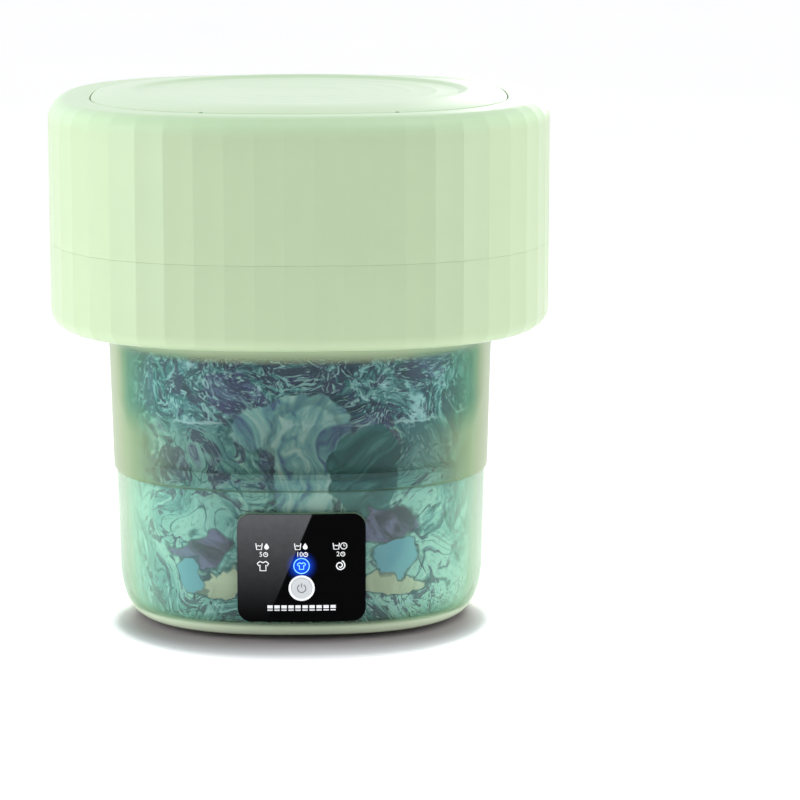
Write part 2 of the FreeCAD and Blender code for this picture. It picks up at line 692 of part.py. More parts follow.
def make_motor(hub_gap):
    can = g.motor_radius
    low = g.motor_low
    top = g.plate_floor
    hole = g.motor_shaft_radius + 0.05
    boss = top + 1.6
    turned("motor_can", [(hole, low), (can, low), (can, top), (4.9, top), (4.9, boss), (hole, boss),
                         (hole, top - 1.5), (can - 1, top - 1.5), (can - 1, low + 2), (hole, low + 2)],
           x=hub_gap)
    shaft = g.motor_shaft_radius
    core = g.motor_radius - 2.5
    turned("motor_rotor", [(0, low + 0.3), (shaft, low + 0.3), (shaft, low + 3.5), (core, low + 3.5),
                           (core, top - 4), (shaft, top - 4), (shaft, g.gear_floor + g.gear_width + 1),
                           (0, g.gear_floor + g.gear_width + 1)], x=hub_gap)


def make_pulsator():
    """Ribbed disc with a hollow underside that clears the shaft tower."""
    body = new_body("pulsator")
    sketch = new_sketch(body, "Outline")
    low = g.pulsator_floor
    top = g.pulsator_top
    rim = g.pulsator_radius
    cavity = g.hub_radius + 1.6
    draw_outline(sketch, [(g.shaft_radius, top - 9), (cavity, top - 9), (cavity, low), (rim, low),
                          (rim, low + 2), (rim * 0.8, low + 3.2), (rim * 0.5, low + 7.5),
                          (rim * 0.3, top - 1.5), (rim * 0.2, top), (7, top), (7, top - 3),
                          (g.shaft_radius, top - 3)])
    disc = body.newObject("PartDesign::Revolution", "Disc")
    disc.Profile = sketch
    disc.ReferenceAxis = (sketch, ["V_Axis"])
    disc.Angle = 360
    rib_sketch = new_sketch(body, "RibOutline")
    draw_outline(rib_sketch, [(rim * 0.3, low + 2), (rim * 0.93, low + 1), (rim * 0.9, low + 6),
                              (rim * 0.5, low + 12.5), (rim * 0.3, top - 1)])
    rib = body.newObject("PartDesign::Pad", "Rib")
    rib.Profile = rib_sketch
    rib.Length = 5
    rib.Midplane = True
    doc.recompute()
    ribs = body.newObject("PartDesign::PolarPattern", "Ribs")
    ribs.Originals = [rib]
    ribs.Axis = (sketch, ["V_Axis"])
    ribs.Angle = 360
    ribs.Occurrences = 6
    body.Tip = ribs
    keep(body, "pulsator")
    turned("pulsator_screw", [(0, top - 13), (2, top - 13), (2, top - 3), (6, top - 3), (6, top - 1),
                              (4.5, top - 0.2), (0, top - 0.2)])


# ---- control panel -----------------------------------------------------------------------------

def make_panel():
    face = v.panel_face_half
    back = face - v.panel_thickness
    lens = panel_slice(0, face, back)
    bore = Part.makeCylinder(v.ring_radius + 0.1, 20, Vector(0, -face - 5, v.button_height), Vector(0, 1, 0))
    keep(solid(lens.cut(bore)), "panel_lens")
    frame = panel_slice(-1, back, back - 1.2)
    keep(solid(frame.cut(panel_outline(-5.5, -back - 5))), "panel_gasket")
    board_back = -g.board_front + g.board_wall
    board = block(Size(-27.0), Size(27.0), -g.board_front, board_back, g.panel_low + 5, g.panel_high - 4)
    keep(board, "control_board")
    lights = doc.addObject("Part::Compound", "Lights")
    lights.Links = [block(g.icon_pitch * side - 1.5, g.icon_pitch * side + 1.5, -g.board_front - 1.2,
                          -g.board_front, g.icon_height - 1.5, g.icon_height + 1.5)
                    for side in (-1, 0, 1)]
    keep(lights, "indicator_lights")
    height = g.button_height
    switch = fuse(block(Size(-3.0), Size(3.0), -g.board_front - 2.4, -g.board_front, height - 3, height + 3),
                  rod(1.6, -g.board_front - 3, -g.board_front - 2, 0, height))
    keep(switch, "button_switch")
    cap = fuse(rod(g.button_radius, -g.panel_face_half - 1.1, -g.panel_face_half + 3, 0, height),
               rod(2.0, -g.panel_face_half + 2, -g.board_front - 3.8, 0, height))
    keep(cap, "power_button")
    sleeve = cut(rod(g.ring_radius, -g.panel_face_half - 0.5, -g.panel_face_half + 3.6, 0, height),
                 rod(g.button_radius + 0.15, -g.panel_face_half - 0.5, -g.panel_face_half + 3.6, 0, height))
    keep(sleeve, "button_ring")


# ---- back --------------------------------------------------------------------------------------

def make_drain():
    """Elbow from the tub's floor to the back wall, and the plug in its mouth."""
    height = g.drain_height
    pipe = g.drain_pipe_radius
    bore = g.drain_bore_radius
    depth = g.drain_offset
    mouth = g.base_rim_half - 0.2
    outside = fuse(cylinder(pipe, height - pipe, g.tub_floor, 0, depth),
                   rod(pipe, depth, mouth, 0, height))
    inside = fuse(cylinder(bore, height - bore, g.tub_floor, 0, depth),
                  rod(bore, depth, mouth, 0, height))
    keep(cut(outside, inside), "drain_elbow")
    plug = fuse(rod(bore - 0.1, mouth - 10, mouth, 0, height),
                rod(pipe, mouth + 0.1, mouth + 2.4, 0, height),
                rod(bore - 0.1, mouth - 1, mouth + 1, 0, height),
                block(Size(-1.0), Size(1.0), mouth + 2, mouth + 4.6, height - 4, height + 4))
    keep(plug, "drain_plug")


def make_jack():
    """Barrel inlet for a low-voltage lead, set flush in the back wall."""
    x = -g.jack_offset
    height = g.jack_height
    face = 92.6
    sleeve = cut(rod(g.jack_radius, Size(79.0), Size(face), x, height),
                 rod(2.8, Size(face - 9), Size(face), x, height))
    keep(fuse(sleeve, rod(0.8, Size(face - 10), Size(face - 1.5), x, height)), "dc_inlet")


make_upper_shell()
make_lower_shell()
make_seam_gasket()
make_liner()
make_rim_ring()
make_soft_clamp()
make_lid()
make_basket()
make_folding_wall()
make_base_shell()
make_inner_tub()
make_rim_clamp()
make_bottom()
make_drive()
make_pulsator()
make_panel()
make_drain()
make_jack()

doc.recompute()
faults = []
for obj in doc.Objects:
    if "Invalid" in obj.State or "Error" in obj.State:
        faults.append(f"{obj.Label}: {obj.State}")
for obj in subparts:
    if obj.Shape.isNull() or not obj.Shape.isValid():
        faults.append(f"{obj.Label}: bad shape")
if faults:
    raise RuntimeError("; ".join(faults))

os.makedirs("parts", exist_ok=True)
for obj in subparts:
    obj.Shape.exportStep(f"parts/{obj.Label}.step")
    box = obj.Shape.BoundBox
    print(f"{obj.Label}: {len(obj.Shape.Solids)} solids, {obj.Shape.Volume / 1000:.2f} cm3, "
          f"z {box.ZMin:.2f} to {box.ZMax:.2f}")
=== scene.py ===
import math

import bmesh
import bpy
import numpy as np
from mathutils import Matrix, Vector


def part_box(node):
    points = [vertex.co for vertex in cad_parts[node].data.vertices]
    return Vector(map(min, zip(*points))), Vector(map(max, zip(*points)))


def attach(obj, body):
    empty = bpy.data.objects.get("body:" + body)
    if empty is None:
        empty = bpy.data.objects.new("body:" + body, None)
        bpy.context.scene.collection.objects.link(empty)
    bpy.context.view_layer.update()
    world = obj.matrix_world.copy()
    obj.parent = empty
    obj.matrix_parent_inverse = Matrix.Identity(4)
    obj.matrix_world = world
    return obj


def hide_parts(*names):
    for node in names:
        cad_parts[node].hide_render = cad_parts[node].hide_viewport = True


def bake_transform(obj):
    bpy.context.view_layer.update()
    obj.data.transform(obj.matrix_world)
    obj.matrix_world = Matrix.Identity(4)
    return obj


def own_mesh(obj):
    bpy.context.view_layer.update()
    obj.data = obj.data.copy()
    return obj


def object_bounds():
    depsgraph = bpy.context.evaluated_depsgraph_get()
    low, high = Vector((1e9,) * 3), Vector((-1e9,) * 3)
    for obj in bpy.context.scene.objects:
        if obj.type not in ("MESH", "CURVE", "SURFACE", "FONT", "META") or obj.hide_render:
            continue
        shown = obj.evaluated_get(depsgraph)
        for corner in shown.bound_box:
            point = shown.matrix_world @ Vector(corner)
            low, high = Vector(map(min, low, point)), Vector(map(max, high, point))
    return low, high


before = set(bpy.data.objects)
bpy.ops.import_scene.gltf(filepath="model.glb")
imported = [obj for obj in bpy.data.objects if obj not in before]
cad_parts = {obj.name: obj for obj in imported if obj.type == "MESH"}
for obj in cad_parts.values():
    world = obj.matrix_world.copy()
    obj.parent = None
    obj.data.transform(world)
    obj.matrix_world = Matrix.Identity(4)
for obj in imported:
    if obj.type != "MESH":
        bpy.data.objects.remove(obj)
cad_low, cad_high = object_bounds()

# Looks of the portable folding mini washer. Lengths are in metres; +Z is up, the panel faces -Y.
MM = 0.001

# ---- sizes, read from the frame ---------------------------------------------------------------


def span(node, axis):
    """Lowest and highest coordinate of a node along an axis: 0, 1, 2 for X, Y, Z."""
    low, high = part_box(node)
    return low[axis], high[axis]


def top_of(node):
    return span(node, 2)[1]


def floor_of(node):
    return span(node, 2)[0]


def half_of(node):
    """Half width of a centred node along X."""
    return span(node, 0)[1]


POWER = 2.6                      # superellipse exponent shared by every squircle of the washer
FACETS = 56                      # facets round the collar
FACET_STEPS = 4                  # mesh columns per facet
FLUTE_DEPTH = 0.18 * MM          # hollow of each facet
COLUMNS = FACETS * FACET_STEPS

COLLAR_HALF = cad_high.x + 0.02 * MM    # to the facets' corners; their middles lie further in
COLLAR_TOP = top_of("upper_shell")
COLLAR_FLOOR = floor_of("lower_shell")
SEAM = (top_of("lower_shell") + floor_of("upper_shell")) / 2
SEAM_GAP = 0.04 * MM             # the line between the shells, drawn finer than the CAD gap
SHELL_WALL = 2.6 * MM
CROWN_ROUND = 10 * MM
SKIRT_ROUND = 8 * MM
THROAT_HALF = 108.3 * MM         # opening under the collar, which the soft wall comes up through

LID_HALF = half_of("lid")
LID_TOP = top_of("lid")
LID_FLOOR = floor_of("lid")
LID_LIP = 88 * MM                # radius of the round lip on the lid
DISH_DEPTH = 1.4 * MM
DISH_CIRCLES = (72, 58, 44, 30)  # radii of the faint moulded circles, in millimetres
NOTCH_OFFSET = 48.4 * MM         # of the two finger notches, from the middle of the lid's front edge
NOTCH_RADIUS = 1.3 * MM
MOUTH_HALF = LID_HALF + 0.5 * MM
MOUTH_DEPTH = 7.3 * MM

BASE_HALF = half_of("base_shell")
BASE_FLOOR = floor_of("base_shell")
BASE_WAIST_HALF = BASE_HALF - 1.3 * MM
BASE_WAIST = BASE_FLOOR + 25 * MM
BASE_TURN = 10 * MM              # how far the bottom turns in below the waist
BASE_WALL = 2.5 * MM
BASE_OPENING = 80 * MM           # half width of the opening in the base's floor
NECK_INSET = 1.4 * MM            # step inward at the base's rim, where the soft wall grips
NECK_TOP = top_of("base_shell")

SOFT_FOOT = floor_of("folding_wall")
SOFT_FOOT_HALF = BASE_HALF + 1.4 * MM
SOFT_HIGH_HALF = BASE_HALF + 3.0 * MM
SOFT_HIGH = COLLAR_FLOOR - 15 * MM      # the wall starts to flare out here
SOFT_WALL = 1.0 * MM

PANEL_LOW, PANEL_HIGH = span("panel_lens", 2)
PANEL_HALF = half_of("panel_lens")
PANEL_FACE = -span("panel_lens", 1)[0]
WINDOW_OUTER, WINDOW_INNER = 110 * MM, 70 * MM      # the panel's window is cut between these
BUTTON_Z = (floor_of("power_button") + top_of("power_button")) / 2
ICON_Z = (floor_of("indicator_lights") + top_of("indicator_lights")) / 2
ICON_PITCH = half_of("indicator_lights") - 1.5 * MM


# ---- outlines: arrays of x, y points, one per mesh column --------------------------------------

ANGLES = 2 * math.pi * (np.arange(COLUMNS) / FACET_STEPS + 0.5) / FACETS


def squircle(half):
    """Smooth superellipse."""
    sine, cosine = np.sin(ANGLES), np.cos(ANGLES)
    reach = half / (np.abs(sine) ** POWER + np.abs(cosine) ** POWER) ** (1 / POWER)
    return np.stack([reach * sine, -reach * cosine], axis=1)


def circle(radius):
    """Round outline with the same columns as a squircle, so that the two can be mixed."""
    return radius * np.stack([np.sin(ANGLES), -np.cos(ANGLES)], axis=1)


def inset(outline, distance):
    """Outline moved inward by a distance, with mitred corners."""
    edge = np.roll(outline, -1, axis=0) - outline
    edge /= np.linalg.norm(edge, axis=1)[:, None]
    after = np.stack([edge[:, 1], -edge[:, 0]], axis=1)
    before = np.roll(after, 1, axis=0)
    mitre = (after + before) / (1 + np.sum(after * before, axis=1))[:, None]
    return outline - mitre * distance


def faceted(half):
    """Collar outline: barely hollow facets between corners on the superellipse, inset to a half width."""
    smooth = squircle(COLLAR_HALF)
    corners = smooth[::FACET_STEPS]
    following = np.roll(corners, -1, axis=0)
    outline = np.empty_like(smooth)
    outward = (corners + following) / np.linalg.norm(corners + following, axis=1)[:, None]
    for step in range(FACET_STEPS):
        share = step / FACET_STEPS
        hollow = FLUTE_DEPTH * 4 * share * (1 - share)
        outline[step::FACET_STEPS] = corners * (1 - share) + following * share - outward * hollow
    return inset(outline, COLLAR_HALF - half)


def collar_outline(half):
    """Faceted at the outside, turning into the smooth squircle of the mouth further in."""
    blend_from, blend_to = MOUTH_HALF + 0.5 * MM, COLLAR_HALF - CROWN_ROUND
    share = min(1, max(0, (half - blend_from) / (blend_to - blend_from)))
    if share == 0:
        return squircle(half)
    return faceted(half) * share + squircle(half) * (1 - share)


# ---- profiles: cross-sections as lists of (half width, height) ---------------------------------

def shares(steps):
    """Even shares from 0 to 1."""
    return [step / steps for step in range(steps + 1)]


def eased(share):
    """Share that starts and ends gently."""
    return share * share * (3 - 2 * share)


def rounded(corners, steps=10):
    """Profile through corners of (half width, height, radius), each turned by an arc."""
    points = []
    for index, (x, z, radius) in enumerate(corners):
        corner = Vector((x, z))
        if radius == 0:
            points.append((x, z))
            continue
        before = (Vector(corners[index - 1][:2]) - corner).normalized()
        after = (Vector(corners[(index + 1) % len(corners)][:2]) - corner).normalized()
        half_angle = before.angle(after) / 2
        centre = corner + (before + after).normalized() * (radius / math.sin(half_angle))
        start = corner + before * (radius / math.tan(half_angle)) - centre
        end = corner + after * (radius / math.tan(half_angle)) - centre
        turn = start.angle(end)
        for share in shares(steps):
            spoke = (start * math.sin((1 - share) * turn) + end * math.sin(share * turn)) / math.sin(turn)
            points.append(tuple(centre + spoke))
    return points


def resample(points, spacing):
    """Profile with extra points wherever two neighbours are further apart than the spacing."""
    fine = []
    for (x0, z0), (x1, z1) in zip(points, points[1:] + points[:1]):
        count = max(1, math.ceil(math.hypot(x1 - x0, z1 - z0) / spacing))
        for share in shares(count)[:-1]:
            fine.append((x0 + (x1 - x0) * share, z0 + (z1 - z0) * share))
    return fine


def turn_in(wall):
    """Elliptic turn-in at the bottom of the base, from the floor up to the waist."""
    rise = BASE_WAIST - BASE_FLOOR - wall
    points = []
    for share in shares(14):
        angle = math.pi / 2 * (1 - share)
        points.append((BASE_WAIST_HALF - wall - BASE_TURN * (1 - math.cos(angle)),
                       BASE_WAIST - rise * math.sin(angle)))
    return points


# ---- mesh builders -----------------------------------------------------------------------------

SHARP_ANGLE = math.radians(35)


def finish_mesh(obj):
    """Outward normals, smooth faces, and sharp edges where the surface turns hard."""
    shape = bmesh.new()
    shape.from_mesh(obj.data)
    bmesh.ops.recalc_face_normals(shape, faces=shape.faces)
    for face in shape.faces:
        face.smooth = True
    for edge in shape.edges:
        if edge.is_manifold and edge.calc_face_angle(0) > SHARP_ANGLE:
            edge.smooth = False
    shape.to_mesh(obj.data)
    shape.free()


def plain_object(name, vertices, faces):
    """Mesh object with its faces just as given."""
    mesh = bpy.data.meshes.new(name)
    mesh.from_pydata([tuple(vertex) for vertex in vertices], [], faces)
    obj = bpy.data.objects.new(name, mesh)
    bpy.context.scene.collection.objects.link(obj)
    return obj


def mesh_object(name, vertices, faces):
    """Mesh object with outward, smooth faces."""
    obj = plain_object(name, vertices, faces)
    finish_mesh(obj)
    return obj


def loft(name, rings, closed=True):
    """Mesh through rings of (outline, height): a closed loop of rings, or a stack with capped ends."""
    vertices = [(x, y, height) for outline, height in rings for x, y in outline]
    faces = []
    count = len(rings)
    for ring in range(count if closed else count - 1):
        first, second = ring * COLUMNS, (ring + 1) % count * COLUMNS
        for column in range(COLUMNS):
            following = (column + 1) % COLUMNS
            faces.append((first + column, first + following, second + following, second + column))
    if not closed:
        for ring in (0, count - 1):
            faces.append(tuple(range(ring * COLUMNS, (ring + 1) * COLUMNS)))
    return mesh_object(name, vertices, faces)


def sleeve(name, outer, wall):
    """Thin squircle sleeve from its outer profile, listed upward."""
    inner = [(half - wall, height) for half, height in outer]
    return loft(name, [(squircle(half), height) for half, height in outer + inner[::-1]])


def crease_facets(obj):
    """Marks the upright edges between facets as sharp, so that each facet shades flat."""
    sharp = obj.data.attributes.get("sharp_edge")
    if sharp is None:
        sharp = obj.data.attributes.new("sharp_edge", "BOOLEAN", "EDGE")
    for edge in obj.data.edges:
        first, second = edge.vertices
        same_column = first % COLUMNS == second % COLUMNS
        if same_column and first % FACET_STEPS == 0:
            sharp.data[edge.index].value = True


def rod(centre, radius, start, end, axis="Z", steps=24):
    """Round bar along Z or Y, from start to end past its centre; used only as a cutter."""
    vertices = []
    for along in (start, end):
        for step in range(steps):
            angle = 2 * math.pi * step / steps
            across, beside = radius * math.cos(angle), radius * math.sin(angle)
            spot = (across, beside, along) if axis == "Z" else (across, along, beside)
            vertices.append(Vector(centre) + Vector(spot))
    faces = []
    for step in range(steps):
        following = (step + 1) % steps
        faces.append((step, following, steps + following, steps + step))
    faces += [tuple(range(steps)), tuple(range(steps, 2 * steps))]
    return mesh_object("cutter", vertices, faces)


def block(low, high):
    """Plain box, used only as a cutter."""
    vertices = [(x, y, z) for x in (low[0], high[0]) for y in (low[1], high[1]) for z in (low[2], high[2])]
    faces = [(0, 1, 3, 2), (4, 6, 7, 5), (0, 4, 5, 1), (2, 3, 7, 6), (0, 2, 6, 4), (1, 5, 7, 3)]
    return mesh_object("cutter", vertices, faces)


def panel_window(margin):
    """Cutter for the panel's window, larger than the panel by a margin all round."""
    return block((-PANEL_HALF - margin, -WINDOW_OUTER, PANEL_LOW - margin),
                 (PANEL_HALF + margin, -WINDOW_INNER, PANEL_HIGH + margin))


def cut_away(obj, cutters):
    """Boolean difference, applied to the mesh; the cutters are removed."""
    for cutter in cutters:
        modifier = obj.modifiers.new("cut", "BOOLEAN")
        modifier.operation = "DIFFERENCE"
        modifier.solver = "EXACT"
        modifier.object = cutter
        bpy.context.view_layer.update()
        graph = bpy.context.evaluated_depsgraph_get()
        mesh = bpy.data.meshes.new_from_object(obj.evaluated_get(graph))
        obj.modifiers.clear()
        obj.data = mesh
        bpy.data.objects.remove(cutter)
    finish_mesh(obj)


# ---- node materials ----------------------------------------------------------------------------

class Material:
    """Small helper that adds and links shader nodes."""

    def __init__(self, name):
        self.material = bpy.data.materials.new(name)
        self.material.use_nodes = True
        self.tree = self.material.node_tree
        self.shader = self.tree.nodes["Principled BSDF"]
        self.place = self.add("ShaderNodeTexCoord").outputs["Object"]

    def add(self, kind, **settings):
        """New node; each setting names a property or an input, with _ for a space."""
        node = self.tree.nodes.new(kind)
        for key, value in settings.items():
            if hasattr(node, key):
                setattr(node, key, value)
            else:
                node.inputs[key.replace("_", " ")].default_value = value
        return node

    def link(self, source, target):
        self.tree.links.new(source, target)

    def noise(self, scale, detail=4.0, roughness=0.55, distortion=0.0, vector=None):
        node = self.add("ShaderNodeTexNoise", Scale=scale, Detail=detail, Roughness=roughness,
                        Distortion=distortion)
        self.link(vector or self.place, node.inputs["Vector"])
        return node.outputs["Fac"]

    def ramp(self, factor, stops):
        """Colours by factor, from stops of (position, colour)."""
        node = self.add("ShaderNodeValToRGB")
        ramp = node.color_ramp
        while len(ramp.elements) < len(stops):
            ramp.elements.new(0.5)
        for element, (position, colour) in zip(ramp.elements, stops):
            element.position = position
            element.color = (*colour, 1)
        self.link(factor, node.inputs["Fac"])
        return node.outputs["Color"]

    def math(self, operation, first, second=0.0, third=0.0, clamp=False):
        node = self.add("ShaderNodeMath", operation=operation, use_clamp=clamp)
        for socket, value in zip(node.inputs, (first, second, third)):
            if isinstance(value, (int, float)):
                socket.default_value = value
            else:
                self.link(value, socket)
        return node.outputs[0]

    def vector(self, operation, first, second, third=None):
        """Vector arithmetic; the length comes out as a plain number."""
        node = self.add("ShaderNodeVectorMath", operation=operation)
        for socket, value in zip(node.inputs, (first, second, third)):
            if isinstance(value, tuple):
                socket.default_value = value
            elif value is not None:
                self.link(value, socket)
        return node.outputs["Value" if operation == "LENGTH" else "Vector"]

    def between(self, value, low, high, curve="SMOOTHSTEP"):
        """0 below low, 1 above high, smooth or LINEAR between; low and high may be swapped."""
        node = self.add("ShaderNodeMapRange", interpolation_type=curve, clamp=True)
        self.link(value, node.inputs["Value"])
        node.inputs["From Min"].default_value = low
        node.inputs["From Max"].default_value = high
        return node.outputs["Result"]

    def axes(self):
        node = self.add("ShaderNodeSeparateXYZ")
        self.link(self.place, node.inputs[0])
        return node.outputs["X"], node.outputs["Y"], node.outputs["Z"]

    def stretched(self, scale):
        node = self.add("ShaderNodeMapping")
        node.inputs["Scale"].default_value = scale
        self.link(self.place, node.inputs["Vector"])
        return node.outputs["Vector"]

    def mix(self, factor, first, second):
        """First colour at factor 0, second at 1; each may be a tuple or a socket."""
        node = self.add("ShaderNodeMix", data_type="RGBA")
        for socket, value in ((node.inputs[0], factor), (node.inputs[6], first), (node.inputs[7], second)):
            if isinstance(value, (int, float)):
                socket.default_value = value
            elif isinstance(value, tuple):
                socket.default_value = (*value, 1)
            else:
                self.link(value, socket)
        return node.outputs[2]

    def bump(self, height, distance, strength=1.0):
        """Relief of a given depth on the shader's normal."""
        node = self.add("ShaderNodeBump", Distance=distance, Strength=strength)
        self.link(height, node.inputs["Height"])
        self.link(node.outputs["Normal"], self.shader.inputs["Normal"])

    def set(self, **values):
        """Uniform values of the shader's inputs."""
        for key, value in values.items():
            socket = self.shader.inputs[key.replace("_", " ")]
            socket.default_value = (*value, 1) if isinstance(value, tuple) else value


def tone(colour, share):
    """Linear colour made darker or lighter by a share."""
    return tuple(max(0.0, min(1.0, channel * (1 + share))) for channel in colour)


def moulded_plastic(name, colour, roughness=0.3, variation=0.012, texture=0.02 * MM, gloss=0.5,
                    highlight_colour=None, heights=None):
    """Moulded plastic: faint cloudy colour, uneven polish and an orange-peel skin.

    A second, paler colour may take over between two given heights: a painted highlight.
    """
    made = Material(name)
    clouds = made.noise(28, 5, 0.6)
    colours = made.ramp(clouds, [(0.3, tone(colour, -variation)), (0.7, tone(colour, variation))])
    if highlight_colour:
        colours = made.mix(made.between(made.axes()[2], *heights), colours, highlight_colour)
    made.link(colours, made.shader.inputs["Base Color"])
    polish = made.noise(90, 3)
    made.link(made.math("MULTIPLY_ADD", polish, 0.06, roughness - 0.03), made.shader.inputs["Roughness"])
    made.bump(made.noise(900, 2), texture, 0.1)
    made.set(Specular_IOR_Level=gloss)
    return made.material


def brushed_metal(name, colour, roughness=0.3):
    """Metal with fine turned or drawn scratches and slight darkening in patches."""
    made = Material(name)
    grain = made.noise(1.0, 3, 0.6, vector=made.stretched((60, 60, 2200)))
    patches = made.noise(60, 3)
    colours = made.ramp(patches, [(0.3, tone(colour, -0.12)), (0.7, tone(colour, 0.06))])
    made.link(colours, made.shader.inputs["Base Color"])
    made.link(made.math("MULTIPLY_ADD", grain, 0.25, roughness - 0.1), made.shader.inputs["Roughness"])
    made.bump(grain, 0.02 * MM, 0.3)
    made.set(Metallic=1.0)
    return made.material


def rubber(name, colour):
    """Matt rubber with a dusty mottle and a pebbled skin."""
    made = Material(name)
    dust = made.noise(120, 5, 0.65)
    colours = made.ramp(dust, [(0.35, tone(colour, -0.1)), (0.75, tone(colour, 0.25))])
    made.link(colours, made.shader.inputs["Base Color"])
    made.bump(made.noise(1500, 2), 0.04 * MM, 0.5)
    made.set(Roughness=0.72)
    return made.material


# ---- marbled wash: swirling water and laundry seen through the walls ---------------------------

DEEP = (0.020, 0.050, 0.075)
OUTLINE = (0.025, 0.075, 0.095)
CREAM = (0.50, 0.60, 0.42)
GREY_VIOLET = (0.10, 0.105, 0.19)
WATERLINE = 112.5 * MM

# Laundry and still water behind the walls: the centre and the half sizes of each drift, in metres.
PALE_CLOTH = (((-0.006, -0.088, 0.113), (0.032, 0.08, 0.015)),
              ((0.004, -0.088, 0.090), (0.019, 0.08, 0.032)),
              ((0.075, 0.060, 0.105), (0.030, 0.05, 0.028)),
              ((-0.080, 0.030, 0.100), (0.04, 0.030, 0.024)),
              ((0.020, 0.088, 0.095), (0.026, 0.06, 0.034)))
STILL_WATER = (((0.033, -0.088, 0.088), (0.015, 0.08, 0.025)),)
CREAM_CLOTH = (((-0.043, -0.088, 0.029), (0.013, 0.08, 0.009)),
               ((0.045, -0.088, 0.027), (0.017, 0.08, 0.008)))
DUSKY_CLOTH = (((-0.050, -0.088, 0.048), (0.016, 0.08, 0.007)),
               ((0.043, -0.088, 0.061), (0.014, 0.08, 0.010)),
               ((0.090, 0.040, 0.055), (0.08, 0.020, 0.012)))
BLUE_CLOTH = (((0.045, -0.088, 0.042), (0.013, 0.08, 0.009)),
              ((-0.058, -0.088, 0.034), (0.007, 0.08, 0.010)))


